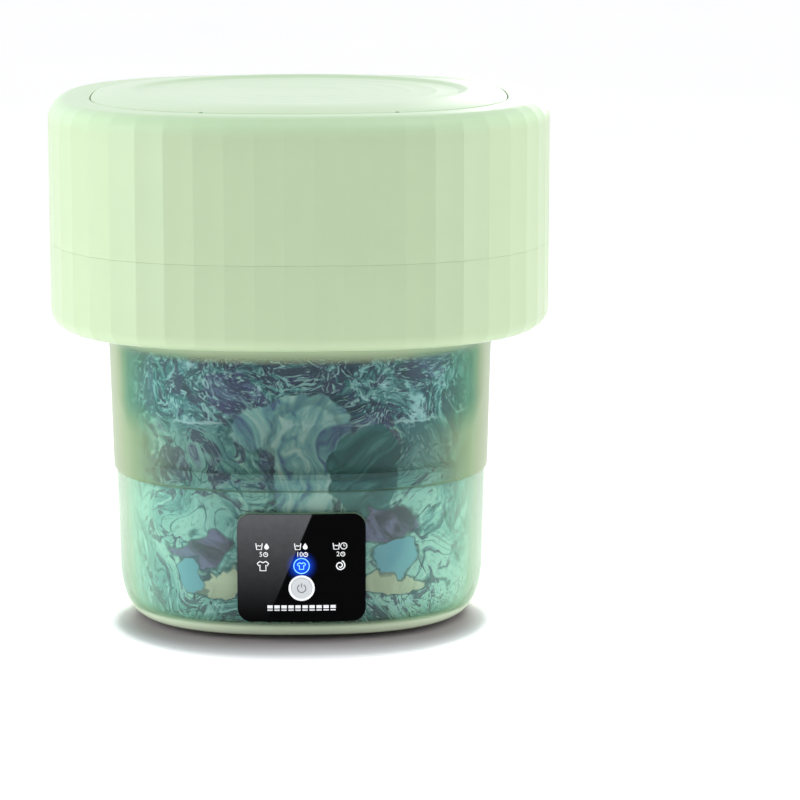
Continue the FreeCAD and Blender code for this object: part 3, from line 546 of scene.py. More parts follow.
def swirl_material(name):
    """Marbled water: folded noise in teal, aqua and violet, with pale drifts of laundry."""
    made = Material(name)
    height = made.axes()[2]

    def fold(vector, scale, reach):
        """Coordinates pushed about by noise, by up to half the reach."""
        turn = made.add("ShaderNodeTexNoise", Scale=scale, Detail=2.0, Roughness=0.5)
        made.link(vector, turn.inputs["Vector"])
        push = made.vector("SUBTRACT", turn.outputs["Color"], (0.5, 0.5, 0.5))
        return made.vector("MULTIPLY_ADD", push, (reach, reach, reach), vector)

    def both(first, second):
        return made.math("MULTIPLY", first, second)

    broad = fold(made.place, 14, 0.075)
    tight = fold(broad, 42, 0.022)
    ragged = fold(fold(made.place, 34, 0.026), 120, 0.010)

    def add_drifts(colour, drifts, tint, outline=0.7):
        """Ragged patches of their own tint, each inside a thin dark outline."""
        for centre, reach in drifts:
            away = made.vector("SUBTRACT", ragged, centre)
            size = made.vector("LENGTH", made.vector("DIVIDE", away, reach), None)
            colour = made.mix(both(made.between(size, 1.22, 1.06), outline), colour, OUTLINE)
            colour = made.mix(made.between(size, 1.04, 0.96), colour, tint)
        return colour

    wide = made.noise(17, 2.0, 0.5, 0.5, broad)
    patch = made.noise(26, 1.5, 0.5, 0.8, tight)
    medium = made.noise(70, 5, 0.62, 1.2, tight)
    fine = made.noise(230, 4, 0.65, 1.5, tight)
    crest = both(medium, 8 * MM)
    upper = made.between(made.math("ADD", height, crest), WATERLINE + 3 * MM, WATERLINE + 6 * MM)

    # Below the waterline: churned water, broken by smoother stretches with fine flow lines.
    churned = made.ramp(medium, [
        (0.37, (0.02, 0.08, 0.10)), (0.44, (0.06, 0.21, 0.22)), (0.50, (0.14, 0.38, 0.36)),
        (0.57, (0.27, 0.57, 0.49)), (0.66, (0.46, 0.76, 0.65))])
    smooth = made.ramp(wide, [(0.40, (0.05, 0.18, 0.21)), (0.5, (0.16, 0.42, 0.38)),
                              (0.60, (0.33, 0.63, 0.53))])
    colour = made.mix(made.between(patch, 0.43, 0.50), churned, smooth)
    rings = made.math("ABSOLUTE", made.math("SUBTRACT", made.math("FRACT", both(wide, 26.0)), 0.5))
    lines = both(made.between(rings, 0.09, 0.03), made.between(patch, 0.44, 0.50))
    colour = made.mix(both(lines, 0.85), colour, (0.03, 0.13, 0.15))

    # Above it: darker, splashing water, then violet drifts and deep gaps over both.
    storm = made.ramp(medium, [
        (0.36, DEEP), (0.45, (0.045, 0.075, 0.15)), (0.50, (0.05, 0.19, 0.20)),
        (0.58, (0.15, 0.38, 0.40)), (0.66, (0.40, 0.68, 0.70))])
    colour = made.mix(upper, colour, storm)
    violet = both(made.between(wide, 0.525, 0.56), made.between(height, 70 * MM, 95 * MM))
    colour = made.mix(both(violet, 0.7), colour, (0.085, 0.08, 0.22))
    depths = made.between(made.noise(60, 3, 0.6, 1.0, broad), 0.55, 0.58)
    colour = made.mix(both(depths, 0.85), colour, (0.05, 0.06, 0.13))

    # Bright and dark flecks, strongest above the waterline and near the floor.
    swash = made.between(height, 34 * MM, 20 * MM)
    stir = made.math("MAXIMUM", made.math("MULTIPLY_ADD", upper, 0.45, 0.35), swash)
    colour = made.mix(both(made.between(fine, 0.54, 0.60), stir), colour, (0.34, 0.64, 0.62))
    colour = made.mix(both(made.between(fine, 0.46, 0.40), stir), colour, (0.035, 0.07, 0.11))

    cloth = made.ramp(made.noise(1.0, 4, 0.6, 1.2, made.vector("MULTIPLY", tight, (75, 75, 30))), [
        (0.36, (0.09, 0.15, 0.27)), (0.43, (0.14, 0.33, 0.38)), (0.52, (0.23, 0.49, 0.47)),
        (0.64, (0.44, 0.68, 0.62))])
    colour = add_drifts(colour, PALE_CLOTH, cloth, 0.35)
    still = made.ramp(medium, [(0.40, (0.030, 0.11, 0.13)), (0.55, (0.05, 0.18, 0.19)),
                               (0.66, (0.09, 0.27, 0.27))])
    colour = add_drifts(colour, STILL_WATER, still, 0.0)
    cream = made.ramp(medium, [(0.4, tone(CREAM, -0.25)), (0.6, CREAM)])
    colour = add_drifts(colour, CREAM_CLOTH, cream)
    dusk = made.ramp(medium, [(0.42, tone(GREY_VIOLET, -0.5)), (0.58, tone(GREY_VIOLET, 0.5))])
    colour = add_drifts(colour, DUSKY_CLOTH, dusk)
    blue = made.ramp(wide, [(0.36, (0.06, 0.22, 0.33)), (0.50, (0.10, 0.32, 0.42)),
                            (0.64, (0.17, 0.43, 0.49))])
    colour = add_drifts(colour, BLUE_CLOTH, blue)

    # The waterline itself, a broken pale line.
    level = made.math("MULTIPLY_ADD", medium, 6 * MM, height)
    line = both(made.between(level, WATERLINE + 2.4 * MM, WATERLINE + 3.0 * MM),
                made.between(level, WATERLINE + 4.2 * MM, WATERLINE + 3.4 * MM))
    line = both(line, made.between(patch, 0.42, 0.55))
    colour = made.mix(both(line, 0.7), colour, (0.45, 0.70, 0.70))
    made.link(colour, made.shader.inputs["Base Color"])
    made.bump(medium, 1.0 * MM, 0.2)
    made.set(Roughness=0.4, Specular_IOR_Level=0.2)
    return made.material


def clear_wall(name, colour, corner, clearest, roughness, milkiness, fall, solid, pale, cloudy=None):
    """Translucent wall: clear when looked through squarely, milky where it turns away.

    corner is its colour round the squircle's corners. milkiness and fall shape the milky edge.
    solid gives the two heights between which it turns from clear to opaque, and pale is its colour
    there, painted light: painted shade under the collar on the soft wall, a painted glow at the
    base's foot. cloudy gives a duller corner colour and the two heights between which it takes over.
    """
    made = Material(name)
    x, y, z = made.axes()
    haze = made.noise(40, 4, 0.6)
    off_diagonal = made.math("ABSOLUTE", made.math("SUBTRACT", made.math("ABSOLUTE", x),
                                                   made.math("ABSOLUTE", y)))
    middle = made.between(off_diagonal, 24 * MM, 48 * MM)
    corners = made.ramp(haze, [(0.3, tone(corner, -0.05)), (0.7, tone(corner, 0.05))])
    dull = 0.0
    if cloudy:
        dull = made.between(z, *cloudy[1:])
        corners = made.mix(dull, corners, cloudy[0])
    tint = made.mix(middle, corners,
                    made.ramp(haze, [(0.3, tone(colour, -0.03)), (0.7, tone(colour, 0.03))]))
    thick = made.between(z, *solid)
    made.link(made.mix(thick, tint, pale), made.shader.inputs["Base Color"])
    edge = made.add("ShaderNodeLayerWeight")
    edge.inputs["Blend"].default_value = 0.5
    milk = made.math("POWER", edge.outputs["Facing"], fall)
    veil = made.math("MULTIPLY_ADD", haze, 0.03, clearest - 0.015)
    strength = made.math("MULTIPLY_ADD", dull, 0.8 * milkiness, milkiness)
    alpha = made.math("MULTIPLY_ADD", milk, strength, veil, clamp=True)
    made.link(made.math("MAXIMUM", alpha, thick), made.shader.inputs["Alpha"])
    made.bump(made.noise(500, 2), 0.01 * MM, 0.1)
    made.set(Roughness=roughness, Specular_IOR_Level=0.3)
    return made.material


# ---- shells --------------------------------------------------------------------------------------

MINT = (0.495, 0.61, 0.385)
# The lid's mint, paler than the shell's: partly its own colour, partly a painted highlight for the light
# its top catches.
LID_MINT_AND_HIGHLIGHT = (0.60, 0.79, 0.51)
SWIRL = swirl_material("wash_swirl")
# Painted highlight: near the top the collar's crown and deck turn to the paler lid mint.
SHELL_MATERIAL = moulded_plastic("mint_shell", MINT, 0.30, gloss=0.18, highlight_colour=LID_MINT_AND_HIGHLIGHT,
                                 heights=(COLLAR_TOP - 11 * MM, COLLAR_TOP - 2 * MM))
LID_MATERIAL = moulded_plastic("mint_lid", LID_MINT_AND_HIGHLIGHT, 0.30)


def dress(obj, body, slot, material, *replaced):
    """Material and body of a piece, and the CAD nodes that it stands for; the palette slot is not used."""
    obj.data.materials.clear()
    obj.data.materials.append(material)
    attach(obj, body)
    if replaced:
        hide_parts(*replaced)


def collar_shell(node, corners):
    """Faceted skin of one of the collar's shells, through the corners of its cross-section."""
    profile = resample(rounded(corners), 12 * MM)
    shell = loft(node + "_skin", [(collar_outline(half), height) for half, height in profile])
    crease_facets(shell)
    dress(shell, "collar", "shell_mint", SHELL_MATERIAL, node)


def make_collar():
    """Upper shell with its crown and the lid's mouth, and lower shell with its turned-in skirt."""
    inner = COLLAR_HALF - SHELL_WALL
    seam_high = SEAM + SEAM_GAP / 2
    deck = COLLAR_TOP - SHELL_WALL
    mouth_low = COLLAR_TOP - MOUTH_DEPTH
    rebate = MOUTH_HALF + 2 * MM
    collar_shell("upper_shell", [
        (COLLAR_HALF, seam_high, 0.1 * MM), (COLLAR_HALF, COLLAR_TOP, CROWN_ROUND),
        (MOUTH_HALF, COLLAR_TOP, 0.5 * MM), (MOUTH_HALF, mouth_low, 0), (rebate, mouth_low, 0),
        (rebate, deck, 0), (inner, deck, CROWN_ROUND - SHELL_WALL), (inner, seam_high, 0)])
    seam_low = SEAM - SEAM_GAP / 2
    floor = COLLAR_FLOOR + SHELL_WALL
    collar_shell("lower_shell", [
        (COLLAR_HALF, seam_low, 0.1 * MM), (inner, seam_low, 0),
        (inner, floor, SKIRT_ROUND - SHELL_WALL), (THROAT_HALF, floor, 0.3 * MM),
        (THROAT_HALF, COLLAR_FLOOR, 0.8 * MM), (COLLAR_HALF, COLLAR_FLOOR, SKIRT_ROUND)])


def make_lid():
    """Squircle plate that rises to a round lip; the dish inside it has faint moulded circles."""
    edge = LID_TOP - 2.6 * MM
    under = LID_FLOOR + 2.6 * MM
    dish_floor = LID_TOP - DISH_DEPTH
    pocket = 102 * MM
    bevel, corner = 0.4 * MM, 0.8 * MM
    centre = circle(2 * MM)
    rings = [(centre, under), (squircle(pocket - 6 * MM), under), (squircle(pocket), under),
             (squircle(pocket), LID_FLOOR), (squircle(LID_HALF - bevel), LID_FLOOR),
             (squircle(LID_HALF), LID_FLOOR + bevel)]
    for step in range(7):
        angle = math.radians(15 * step)
        rings.append((squircle(LID_HALF - corner * (1 - math.cos(angle))),
                      edge - corner * (1 - math.sin(angle))))
    start = LID_HALF - corner
    for share in shares(14)[1:]:
        half = start + (LID_LIP - start) * share
        rings.append((squircle(half) * (1 - eased(share)) + circle(half) * eased(share),
                      edge + (LID_TOP - edge) * math.sin(share * math.pi / 2)))
    for share in shares(10)[1:]:
        rings.append((circle(LID_LIP - 5 * MM * share), LID_TOP - DISH_DEPTH * eased(share)))
    for radius in DISH_CIRCLES:
        for shift, rise in ((1.8, 0), (0.9, 0.08), (0, 0.11), (-0.9, 0.08), (-1.8, 0)):
            rings.append((circle((radius + shift) * MM), dish_floor + rise * MM))
    rings.append((centre, dish_floor))
    lid = loft("lid_skin", rings, closed=False)
    rim = LID_HALF * (1 - (NOTCH_OFFSET / LID_HALF) ** POWER) ** (1 / POWER)
    cut_away(lid, [rod((side * NOTCH_OFFSET, -rim, LID_TOP - 6 * MM), NOTCH_RADIUS, 0, 9 * MM)
                   for side in (-1, 1)])
    dress(lid, "lid", "lid_mint", LID_MATERIAL, "lid")


def make_folding_wall():
    """Thin clear sleeve that grips the base's rim and flares out into the collar's throat."""
    flare = THROAT_HALF - 0.7 * MM - SOFT_HIGH_HALF
    outer = []
    for share in shares(24):
        half = SOFT_FOOT_HALF - 0.1 * MM + (SOFT_HIGH_HALF - SOFT_FOOT_HALF) * share
        outer.append((half, SOFT_FOOT + (SOFT_HIGH - SOFT_FOOT) * share))
    for share in shares(8)[1:]:
        angle = math.pi / 2 * share
        outer.append((SOFT_HIGH_HALF + flare * (1 - math.cos(angle)),
                      SOFT_HIGH + (COLLAR_FLOOR - SOFT_HIGH) * math.sin(angle)))
    outer.append((SOFT_HIGH_HALF + flare, COLLAR_FLOOR + 4 * MM))
    wall = sleeve("soft_wall_skin", outer, SOFT_WALL)
    # Just under the collar the soft wall turns opaque olive: painted shade under the collar's overhang.
    wall.data.materials.append(clear_wall(
        "clear_soft_wall", (0.285, 0.36, 0.19), (0.08, 0.27, 0.13), clearest=0.03, roughness=0.3,
        milkiness=1.5, fall=2.0,
        solid=(COLLAR_FLOOR - 12 * MM, COLLAR_FLOOR - 3 * MM), pale=(0.33, 0.42, 0.26),
        cloudy=((0.24, 0.35, 0.18), WATERLINE + 10 * MM, WATERLINE - 12 * MM)))
    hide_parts("folding_wall")
    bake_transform(wall)


def make_base_shell():
    """Rigid clear wall, opened at the front for the panel and at the back for the plug and inlet."""
    outer = turn_in(0) + [(BASE_HALF, SOFT_FOOT - 0.4 * MM), (BASE_HALF - 0.3 * MM, SOFT_FOOT)]
    inner = turn_in(BASE_WALL) + [(BASE_HALF - NECK_INSET - BASE_WALL, SOFT_FOOT)]
    floor = [(BASE_OPENING, BASE_FLOOR + BASE_WALL), (BASE_OPENING, BASE_FLOOR)]
    profile = resample(outer + inner[::-1] + floor, 6 * MM)
    shell = loft("base_shell_skin", [(squircle(half), height) for half, height in profile])
    window = panel_window(0.2 * MM)
    shape = bmesh.new()
    shape.from_mesh(window.data)
    along_y = [edge for edge in shape.edges if abs(edge.verts[0].co.y - edge.verts[1].co.y) > 10 * MM]
    bmesh.ops.bevel(shape, geom=along_y, offset=7.2 * MM, segments=12, affect="EDGES", profile=0.5)
    shape.to_mesh(window.data)
    shape.free()
    holes = []
    for node in ("drain_plug", "dc_inlet"):
        low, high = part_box(node)
        radius = (high.x - low.x) / 2 + 0.15 * MM
        middle = ((low.x + high.x) / 2, 0, (low.z + high.z) / 2)
        holes.append(rod(middle, radius, 60 * MM, 120 * MM, axis="Y", steps=48))
    cut_away(shell, [window, *holes])
    # Near the floor the clear base turns opaque and near white: a painted glow for light through the
    # translucent rim.
    dress(shell, "base", "shell_mint", clear_wall(
        "clear_base", (0.38, 0.55, 0.345), (0.40, 0.71, 0.45), clearest=0.06, roughness=0.22,
        milkiness=1.0, fall=2.2, solid=(11 * MM, 7 * MM), pale=(0.84, 0.97, 0.70)), "base_shell")


def make_wash():
    """Two thin sleeves that carry the look of the swirling wash behind the clear walls."""
    tub_top = top_of("inner_tub")
    tub_half = half_of("inner_tub")
    taper = 5.8 * MM / (tub_top - 8.5 * MM)
    foot, neck = 7.2 * MM, NECK_TOP - 5 * MM
    ring_low, ring_high = span("tub_rim_ring", 2)
    ring_half = half_of("tub_rim_ring")
    outer = []
    for step in range(13):
        height = foot + (neck - foot) * step / 12
        outer.append((tub_half - taper * (tub_top - height) + 0.5 * MM, height))
    outer += [(ring_half - 1.6 * MM, NECK_TOP - 2.4 * MM), (ring_half - 0.2 * MM, ring_low - 0.1 * MM)]
    lower = sleeve("wash_lower", outer, 0.25 * MM)
    cut_away(lower, [panel_window(-1.5 * MM)])
    dress(lower, "base", "inner_white", SWIRL)

    floor, roof = ring_high + 0.2 * MM, COLLAR_FLOOR - 2 * MM
    foot_half, draw_in = 94.2 * MM, 2.6 * MM
    outer = [(ring_half, floor), (ring_half - 0.6 * MM, floor + 0.9 * MM)]
    for share in shares(24):
        outer.append((foot_half - draw_in * math.sin(share * math.pi / 2),
                      floor + 2 * MM + (roof - floor - 2 * MM) * share))
    upper = sleeve("wash_upper", outer, 0.8 * MM)
    dress(upper, "base", "inner_white", SWIRL)
    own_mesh(upper)


# ---- control panel -------------------------------------------------------------------------------

REFLECTION_SLOPE = 0.422              # the painted reflection's edge moves this far along X for each step up and lies this far to the left at the height of the table
REFLECTION_START = 22.8 * MM          # and lies this far to the left at the height of the table
LAMP_HALO = 9.0 * MM, 3.0 * MM   # radii at which the lamp's glow starts and is full


def panel_front(x):
    """Y of the panel's curved face at a given X."""
    return -PANEL_FACE * (1 - abs(x / PANEL_FACE) ** POWER) ** (1 / POWER)


def lens_material():
    """Gloss black lens: a painted reflection, a soft grey diagonal band in its colour, and a blue lamp
    behind it.
    """
    made = Material("panel_lens_black")
    x, _, z = made.axes()
    # Painted reflection: left of a sloping line the lens's colour turns grey, growing toward the top.
    beyond = made.math("MULTIPLY_ADD", x, -1.0, made.math("MULTIPLY_ADD", z, REFLECTION_SLOPE, -REFLECTION_START))
    side = made.between(beyond, 0.0, 0.6 * MM, "LINEAR")
    rise = made.between(z, PANEL_LOW, PANEL_HIGH, "LINEAR")
    painted_reflection = made.math("MULTIPLY", side, made.math("POWER", rise, 1.4))
    specks = made.noise(260, 2)
    painted_reflection = made.math("MULTIPLY", painted_reflection, made.math("MULTIPLY_ADD", specks, 0.3, 0.85))
    made.link(made.mix(painted_reflection, (0.001, 0.001, 0.0012), (0.115, 0.115, 0.12)),
              made.shader.inputs["Base Color"])
    across = made.math("POWER", x, 2.0)
    up = made.math("POWER", made.math("SUBTRACT", z, ICON_Z), 2.0)
    reach = made.math("SQRT", made.math("ADD", across, up))
    halo = made.math("POWER", made.between(reach, *LAMP_HALO, "LINEAR"), 2.4)
    made.link(made.mix(halo, (0, 0, 0), (0.01, 0.09, 0.95)), made.shader.inputs["Emission Color"])
    made.set(Roughness=0.09, Specular_IOR_Level=0.02, Emission_Strength=1.0)
    return made.material


def ink_material(name, colour, glow=0.0):
    """Printed mark: slightly uneven ink, lit a little from behind."""
    made = Material(name)
    made.link(made.ramp(made.noise(700, 3), [(0.3, tone(colour, -0.12)), (0.7, colour)]),
              made.shader.inputs["Base Color"])
    made.set(Roughness=0.4, Emission_Color=colour, Emission_Strength=glow)
    return made.material


def arc_points(x, z, radius, start, end, steps=24):
    turns = [math.radians(start + (end - start) * step / steps) for step in range(steps + 1)]
    return [(x + radius * math.cos(turn), z + radius * math.sin(turn)) for turn in turns]


MARK_LIFT = 0.06                 # of every printed mark, in millimetres


class Marks:
    """Collects flat marks in panel millimetres and wraps them onto the panel's curved face."""

    def __init__(self, lift):
        self.lift = lift * MM
        self.vertices = []
        self.faces = []

    def patch(self, outline):
        start = len(self.vertices)
        self.vertices += outline
        self.faces.append(tuple(range(start, start + len(outline))))

    def stroke(self, points, width, closed=False):
        """Ribbon of constant width along a line of points."""
        spots = [Vector(point) for point in points]
        count = len(spots)
        start = len(self.vertices)
        for index, spot in enumerate(spots):
            before = spots[index - 1] if index or closed else spot
            after = spots[(index + 1) % count] if index + 1 < count or closed else spot
            along = (after - before).normalized()
            aside = Vector((-along.y, along.x)) * (width / 2)
            self.vertices += [tuple(spot + aside), tuple(spot - aside)]
        for index in range(count if closed else count - 1):
            first, second = start + 2 * index, start + 2 * ((index + 1) % count)
            self.faces.append((first, first + 1, second + 1, second))

    def numeral(self, text, x, z, height):
        """Plain numerals, centred."""
        curve = bpy.data.curves.new("numeral", "FONT")
        curve.body = text
        curve.size = height * 1.4
        curve.align_x = "CENTER"
        curve.align_y = "CENTER"
        holder = bpy.data.objects.new("numeral", curve)
        bpy.context.scene.collection.objects.link(holder)
        bpy.context.view_layer.update()
        mesh = holder.to_mesh()
        start = len(self.vertices)
        self.vertices += [(x + vertex.co.x, z + vertex.co.y) for vertex in mesh.vertices]
        self.faces += [tuple(start + index for index in face.vertices) for face in mesh.polygons]
        bpy.data.objects.remove(holder)

    def build(self, name, body, slot, material, surface=panel_front):
        """Thin raised marks on a surface that gives Y for each X."""
        places = [(x * MM, surface(x * MM) - self.lift, z * MM) for x, z in self.vertices]
        obj = plain_object(name, places, self.faces)
        shape = bmesh.new()
        shape.from_mesh(obj.data)
        bmesh.ops.remove_doubles(shape, verts=shape.verts, dist=1e-7)
        for face in shape.faces:
            if face.normal.y > 0:
                face.normal_flip()
        skirt = bmesh.ops.extrude_face_region(shape, geom=shape.faces[:])
        for item in skirt["geom"]:
            if isinstance(item, bmesh.types.BMVert):
                item.co.y += self.lift
        bmesh.ops.recalc_face_normals(shape, faces=shape.faces)
        shape.to_mesh(obj.data)
        shape.free()
        dress(obj, body, slot, material)


def shirt(x, z, size):
    """Outline of a short-sleeved shirt."""
    half = [(0.13, 0.36), (0.26, 0.40), (0.50, 0.22), (0.38, 0.02), (0.26, 0.10), (0.26, -0.42)]
    right = [(x + size * px, z + size * pz) for px, pz in half]
    left = [(x - size * px, z + size * pz) for px, pz in reversed(half)]
    collar = [(x + size * px, z + size * pz) for px, pz in ((-0.06, 0.30), (0.06, 0.30))]
    return right + left + collar


def tub_mark(marks, x, z, size):
    """Small tub with a wavy water line."""
    marks.stroke([(x - size, z + size), (x - 0.75 * size, z - size), (x + 0.75 * size, z - size),
                  (x + size, z + size)], 0.5)
    marks.stroke([(x - 0.6 * size, z + 0.1), (x - 0.2 * size, z + 0.5), (x + 0.2 * size, z + 0.1),
                  (x + 0.6 * size, z + 0.5)], 0.45)


def drop_mark(marks, x, z, size):
    """Solid water drop."""
    marks.patch([(x, z + 1.1 * size)] + arc_points(x, z - 0.25 * size, 0.75 * size, 155, 385, 16)[::-1])


def clock_mark(marks, x, z, size):
    marks.stroke(arc_points(x, z, size, 0, 360, 18), 0.4, closed=True)
    marks.stroke([(x, z + 0.6 * size), (x, z), (x + 0.5 * size, z)], 0.35)


def make_marks():
    """Programme icons, a row of blocks, the lit shirt and the button's power symbol, in millimetres."""
    icon, pitch, button = ICON_Z / MM, ICON_PITCH / MM, BUTTON_Z / MM
    symbol_row, numeral_row = 51.2, 47.0
    block_left, block_right, block_pitch = -17.4, -14.7, 3.55
    white = Marks(MARK_LIFT)
    white.stroke(shirt(-pitch, icon, 5.8), 0.55, closed=True)
    spiral = [(2.6 - 1.9 * step / 40, math.radians(70 - 560 * step / 40)) for step in range(41)]
    white.stroke([(pitch + reach * math.cos(turn), icon + reach * math.sin(turn))
                  for reach, turn in spiral], 0.62)
    for x, second, label in ((-pitch, drop_mark, "5"), (0, drop_mark, "10"), (pitch, clock_mark, "2")):
        tub_mark(white, x - 1.9, symbol_row, 1.6)
        second(white, x + 1.9, symbol_row, 1.6)
        white.numeral(label, x - 1.0, numeral_row, 2.5)
        clock_mark(white, x + (2.1 if label == "10" else 1.4), numeral_row, 1.05)
    for index in range(10):
        left, right = block_left + block_pitch * index, block_right + block_pitch * index
        for low, high in ((17.9, 18.5), (19.1, 20.7)):
            white.patch([(left, low), (right, low), (right, high), (left, high)])
    white.build("panel_marks", "base", "button_white", ink_material("mark_white", (0.85, 0.85, 0.85), 0.3))
    blue = Marks(MARK_LIFT)
    blue.stroke(arc_points(0, icon, 3.9, 0, 360, 40), 0.45, closed=True)
    blue.stroke(shirt(0, icon, 4.2), 0.5, closed=True)
    blue.build("lamp_marks", "base", "light_blue", ink_material("mark_blue", (0.18, 0.52, 1.0), 0.9))
    cap = Marks(MARK_LIFT)
    cap.stroke(arc_points(0, button, 2.1, 120, 420, 32), 0.42)
    cap.stroke([(0, button + 0.5), (0, button + 2.6)], 0.42)
    front = span("power_button", 1)[0]
    cap.build("button_mark", "button", "jack_black", ink_material("mark_grey", (0.12, 0.13, 0.14)),
              surface=lambda x: front)


# ---- materials of the pieces that keep their CAD shape -------------------------------------------

STEEL = brushed_metal("brushed_steel", (0.62, 0.62, 0.61), 0.28)
DARK_STEEL = brushed_metal("motor_steel", (0.42, 0.42, 0.43), 0.38)
BRASS = brushed_metal("pinion_brass", (0.72, 0.53, 0.24), 0.3)
CHROME = brushed_metal("bright_ring", (0.80, 0.81, 0.82), 0.16)
NYLON = moulded_plastic("gear_nylon", (0.80, 0.78, 0.70), 0.42, 0.03)
WHITE = moulded_plastic("white_plastic", (0.80, 0.83, 0.78), 0.38, 0.03)
SOFT = moulded_plastic("soft_mint_ring", (0.60, 0.74, 0.52), 0.45, 0.05)
SEAL = rubber("seal_rubber", (0.42, 0.48, 0.38))
DARK = rubber("dark_rubber", (0.035, 0.036, 0.036))
BOARD = moulded_plastic("board_green", (0.02, 0.16, 0.07), 0.4, 0.25, 0.05 * MM)
BLACK = moulded_plastic("inlet_black", (0.018, 0.018, 0.019), 0.35, 0.2)
CAP = moulded_plastic("button_cap", (0.74, 0.75, 0.76), 0.3, 0.03)
LAMP = ink_material("lamp_blue", (0.1, 0.35, 1.0), 1.0)

FINISHES = (
    (("inner_tub", "drain_basket", "pulsator", "collar_liner"), WHITE),
    (("rim_ring", "soft_wall_clamp", "drain_plug"), SOFT),
    (("tub_rim_ring",), SWIRL), (("seam_gasket",), SHELL_MATERIAL), (("bottom_cover",), LID_MATERIAL),
    (("lid_seal", "shaft_seal"), SEAL), (("rubber_feet", "panel_gasket"), DARK),
    (("panel_lens",), lens_material()), (("power_button",), CAP), (("button_ring",), CHROME),
    (("control_board",), BOARD), (("indicator_lights",), LAMP), (("button_switch", "dc_inlet"), BLACK),
    (("driven_gear", "drain_elbow"), NYLON), (("motor_pinion",), BRASS),
    (("motor_can", "motor_rotor"), DARK_STEEL),
    (("upper_bearing", "lower_bearing", "drive_shaft", "drive_plate", "shaft_clip", "clamp_screws",
      "bottom_screws", "plate_screws", "motor_screws", "pulsator_screw"), STEEL))


def dress_nodes():
    """Gives the pieces that keep their CAD shape their materials."""
    for names, finish in FINISHES:
        for name in names:
            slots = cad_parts[name].data.materials
            slots.clear()
            slots.append(finish)


# ---- floor, lights, camera -----------------------------------------------------------------------

FLOOR_HALF = 20
SHADOW_CENTRE = (0.0, -0.040)      # the dark pool round the washer's foot: a painted shadow, darkening the floor's colour where the light can't reach
SHADOW_REACH = (0.101, 0.098)
TABLE_GLOW = 0.50, 0.16          # distances at which the table's extra glow starts and is full


def make_floor():
    """Pale floor, lit from below like a photographer's table, with a painted shadow close round the
    washer's foot.
    """
    corners = [(-FLOOR_HALF, -FLOOR_HALF, 0), (FLOOR_HALF, -FLOOR_HALF, 0),
               (FLOOR_HALF, FLOOR_HALF, 0), (-FLOOR_HALF, FLOOR_HALF, 0)]
    floor = mesh_object("floor", corners, [(0, 1, 2, 3)])
    made = Material("pale_floor")
    x = made.axes()[0]
    from_centre = made.vector("SUBTRACT", made.place, (*SHADOW_CENTRE, 0.0))
    pool = made.vector("DIVIDE", from_centre, (*SHADOW_REACH, 1.0))
    inward = made.math("SUBTRACT", 1.0, made.vector("LENGTH", pool, None))
    # The painted shadow falls off more slowly toward the two sides, so that it stays dark at its ends.
    sides = made.math("MULTIPLY_ADD", made.math("MULTIPLY", x, x), 250.0, 1.0)
    shadow_depth = made.math("MULTIPLY", inward, sides)
    pale = made.ramp(made.noise(2.0, 3), [(0.3, (0.93, 0.925, 0.94)), (0.7, (0.95, 0.945, 0.955))])
    # Painted shadow: inside the pool the floor's colour turns purple-grey.
    made.link(made.mix(made.between(shadow_depth, 0.06, 0.50), pale, (0.40, 0.36, 0.375)),
              made.shader.inputs["Base Color"])
    near = made.between(made.vector("LENGTH", made.place, None), *TABLE_GLOW)
    table = made.math("MULTIPLY_ADD", near, 0.19, 0.29)
    glow = made.math("MULTIPLY", made.between(shadow_depth, 0.25, 0.0), table)
    made.link(glow, made.shader.inputs["Emission Color"])
    made.set(Roughness=0.9, Specular_IOR_Level=0.1, Emission_Strength=1.0)
    floor.data.materials.append(made.material)


def soft_light(name, place, target, width, height, brightness, colour=(1.0, 1.0, 1.0)):
    """Area light of an even brightness (W per square metre and steradian)."""
    data = bpy.data.lights.new(name, "AREA")
    data.shape = "RECTANGLE"
    data.size = width
    data.size_y = height
    data.energy = brightness * math.pi * width * height
    data.color = colour
    light = bpy.data.objects.new(name, data)
    light.location = place
    light.rotation_euler = (Vector(target) - Vector(place)).to_track_quat("-Z", "Y").to_euler()
    light.visible_camera = False
    bpy.context.scene.collection.objects.link(light)


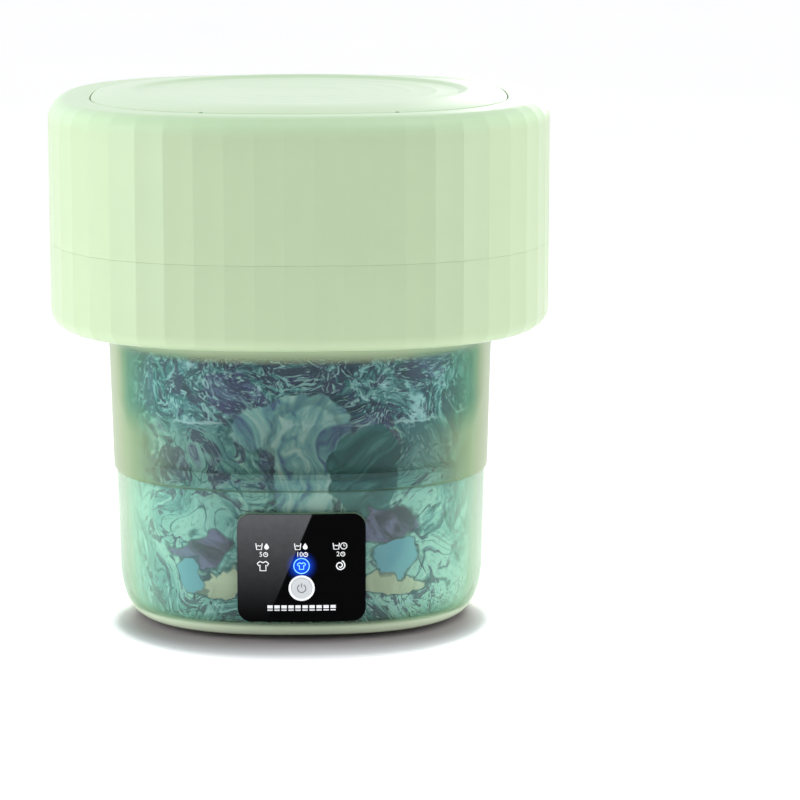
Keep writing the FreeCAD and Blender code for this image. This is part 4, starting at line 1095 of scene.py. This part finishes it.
def make_world():
    """Studio surround, brighter behind the washer than in front of it."""
    world = bpy.data.worlds.new("studio")
    world.use_nodes = True
    tree = world.node_tree
    direction = tree.nodes.new("ShaderNodeTexCoord").outputs["Generated"]
    parts = tree.nodes.new("ShaderNodeSeparateXYZ")
    tree.links.new(direction, parts.inputs[0])
    ramp = tree.nodes.new("ShaderNodeMapRange")
    ramp.interpolation_type = "SMOOTHSTEP"
    tree.links.new(parts.outputs["Y"], ramp.inputs["Value"])
    for socket, value in (("From Min", -0.3), ("From Max", 0.8), ("To Min", 0.10), ("To Max", 1.18)):
        ramp.inputs[socket].default_value = value
    backdrop = tree.nodes["Background"]
    backdrop.inputs["Color"].default_value = (0.97, 0.98, 1.0, 1)
    tree.links.new(ramp.outputs["Result"], backdrop.inputs["Strength"])
    bpy.context.scene.world = world


def make_lights():
    """Softboxes at both sides and behind, and a broad soft light from above."""
    soft_light("left_softbox", (-1.0, -0.42, 0.5), (0, 0, 0.5), 0.75, 1.0, 4.0, (0.96, 1.0, 1.06))
    soft_light("right_softbox", (1.0, -0.42, 0.5), (0, 0, 0.5), 0.75, 1.0, 2.6, (0.96, 1.0, 1.06))
    soft_light("back_softbox", (0.40, 1.4, 0.44), (0, 0, 0.27), 0.5, 0.4, 2.4)
    data = bpy.data.lights.new("overhead_sky", "SUN")
    data.energy = 0.9
    data.angle = math.radians(40)
    overhead = bpy.data.objects.new("overhead_sky", data)
    overhead.rotation_euler = (math.radians(4), math.radians(20), 0)
    bpy.context.scene.collection.objects.link(overhead)
    bpy.context.scene.view_settings.view_transform = "Standard"


def make_camera():
    """Long lens in front of the panel, a little above and looking down."""
    data = bpy.data.cameras.new("camera")
    data.lens = 154.55
    data.sensor_width = 36
    data.clip_end = 60
    camera = bpy.data.objects.new("camera", data)
    camera.location = (0.7 * MM, -1791.8 * MM, 432.6 * MM)
    camera.rotation_euler = (math.radians(90 - 10.25), 0, math.radians(-1.66))
    bpy.context.scene.collection.objects.link(camera)
    bpy.context.scene.camera = camera


make_collar()
make_lid()
make_folding_wall()
make_base_shell()
make_wash()
make_marks()
dress_nodes()
make_world()
make_floor()
make_lights()
make_camera()
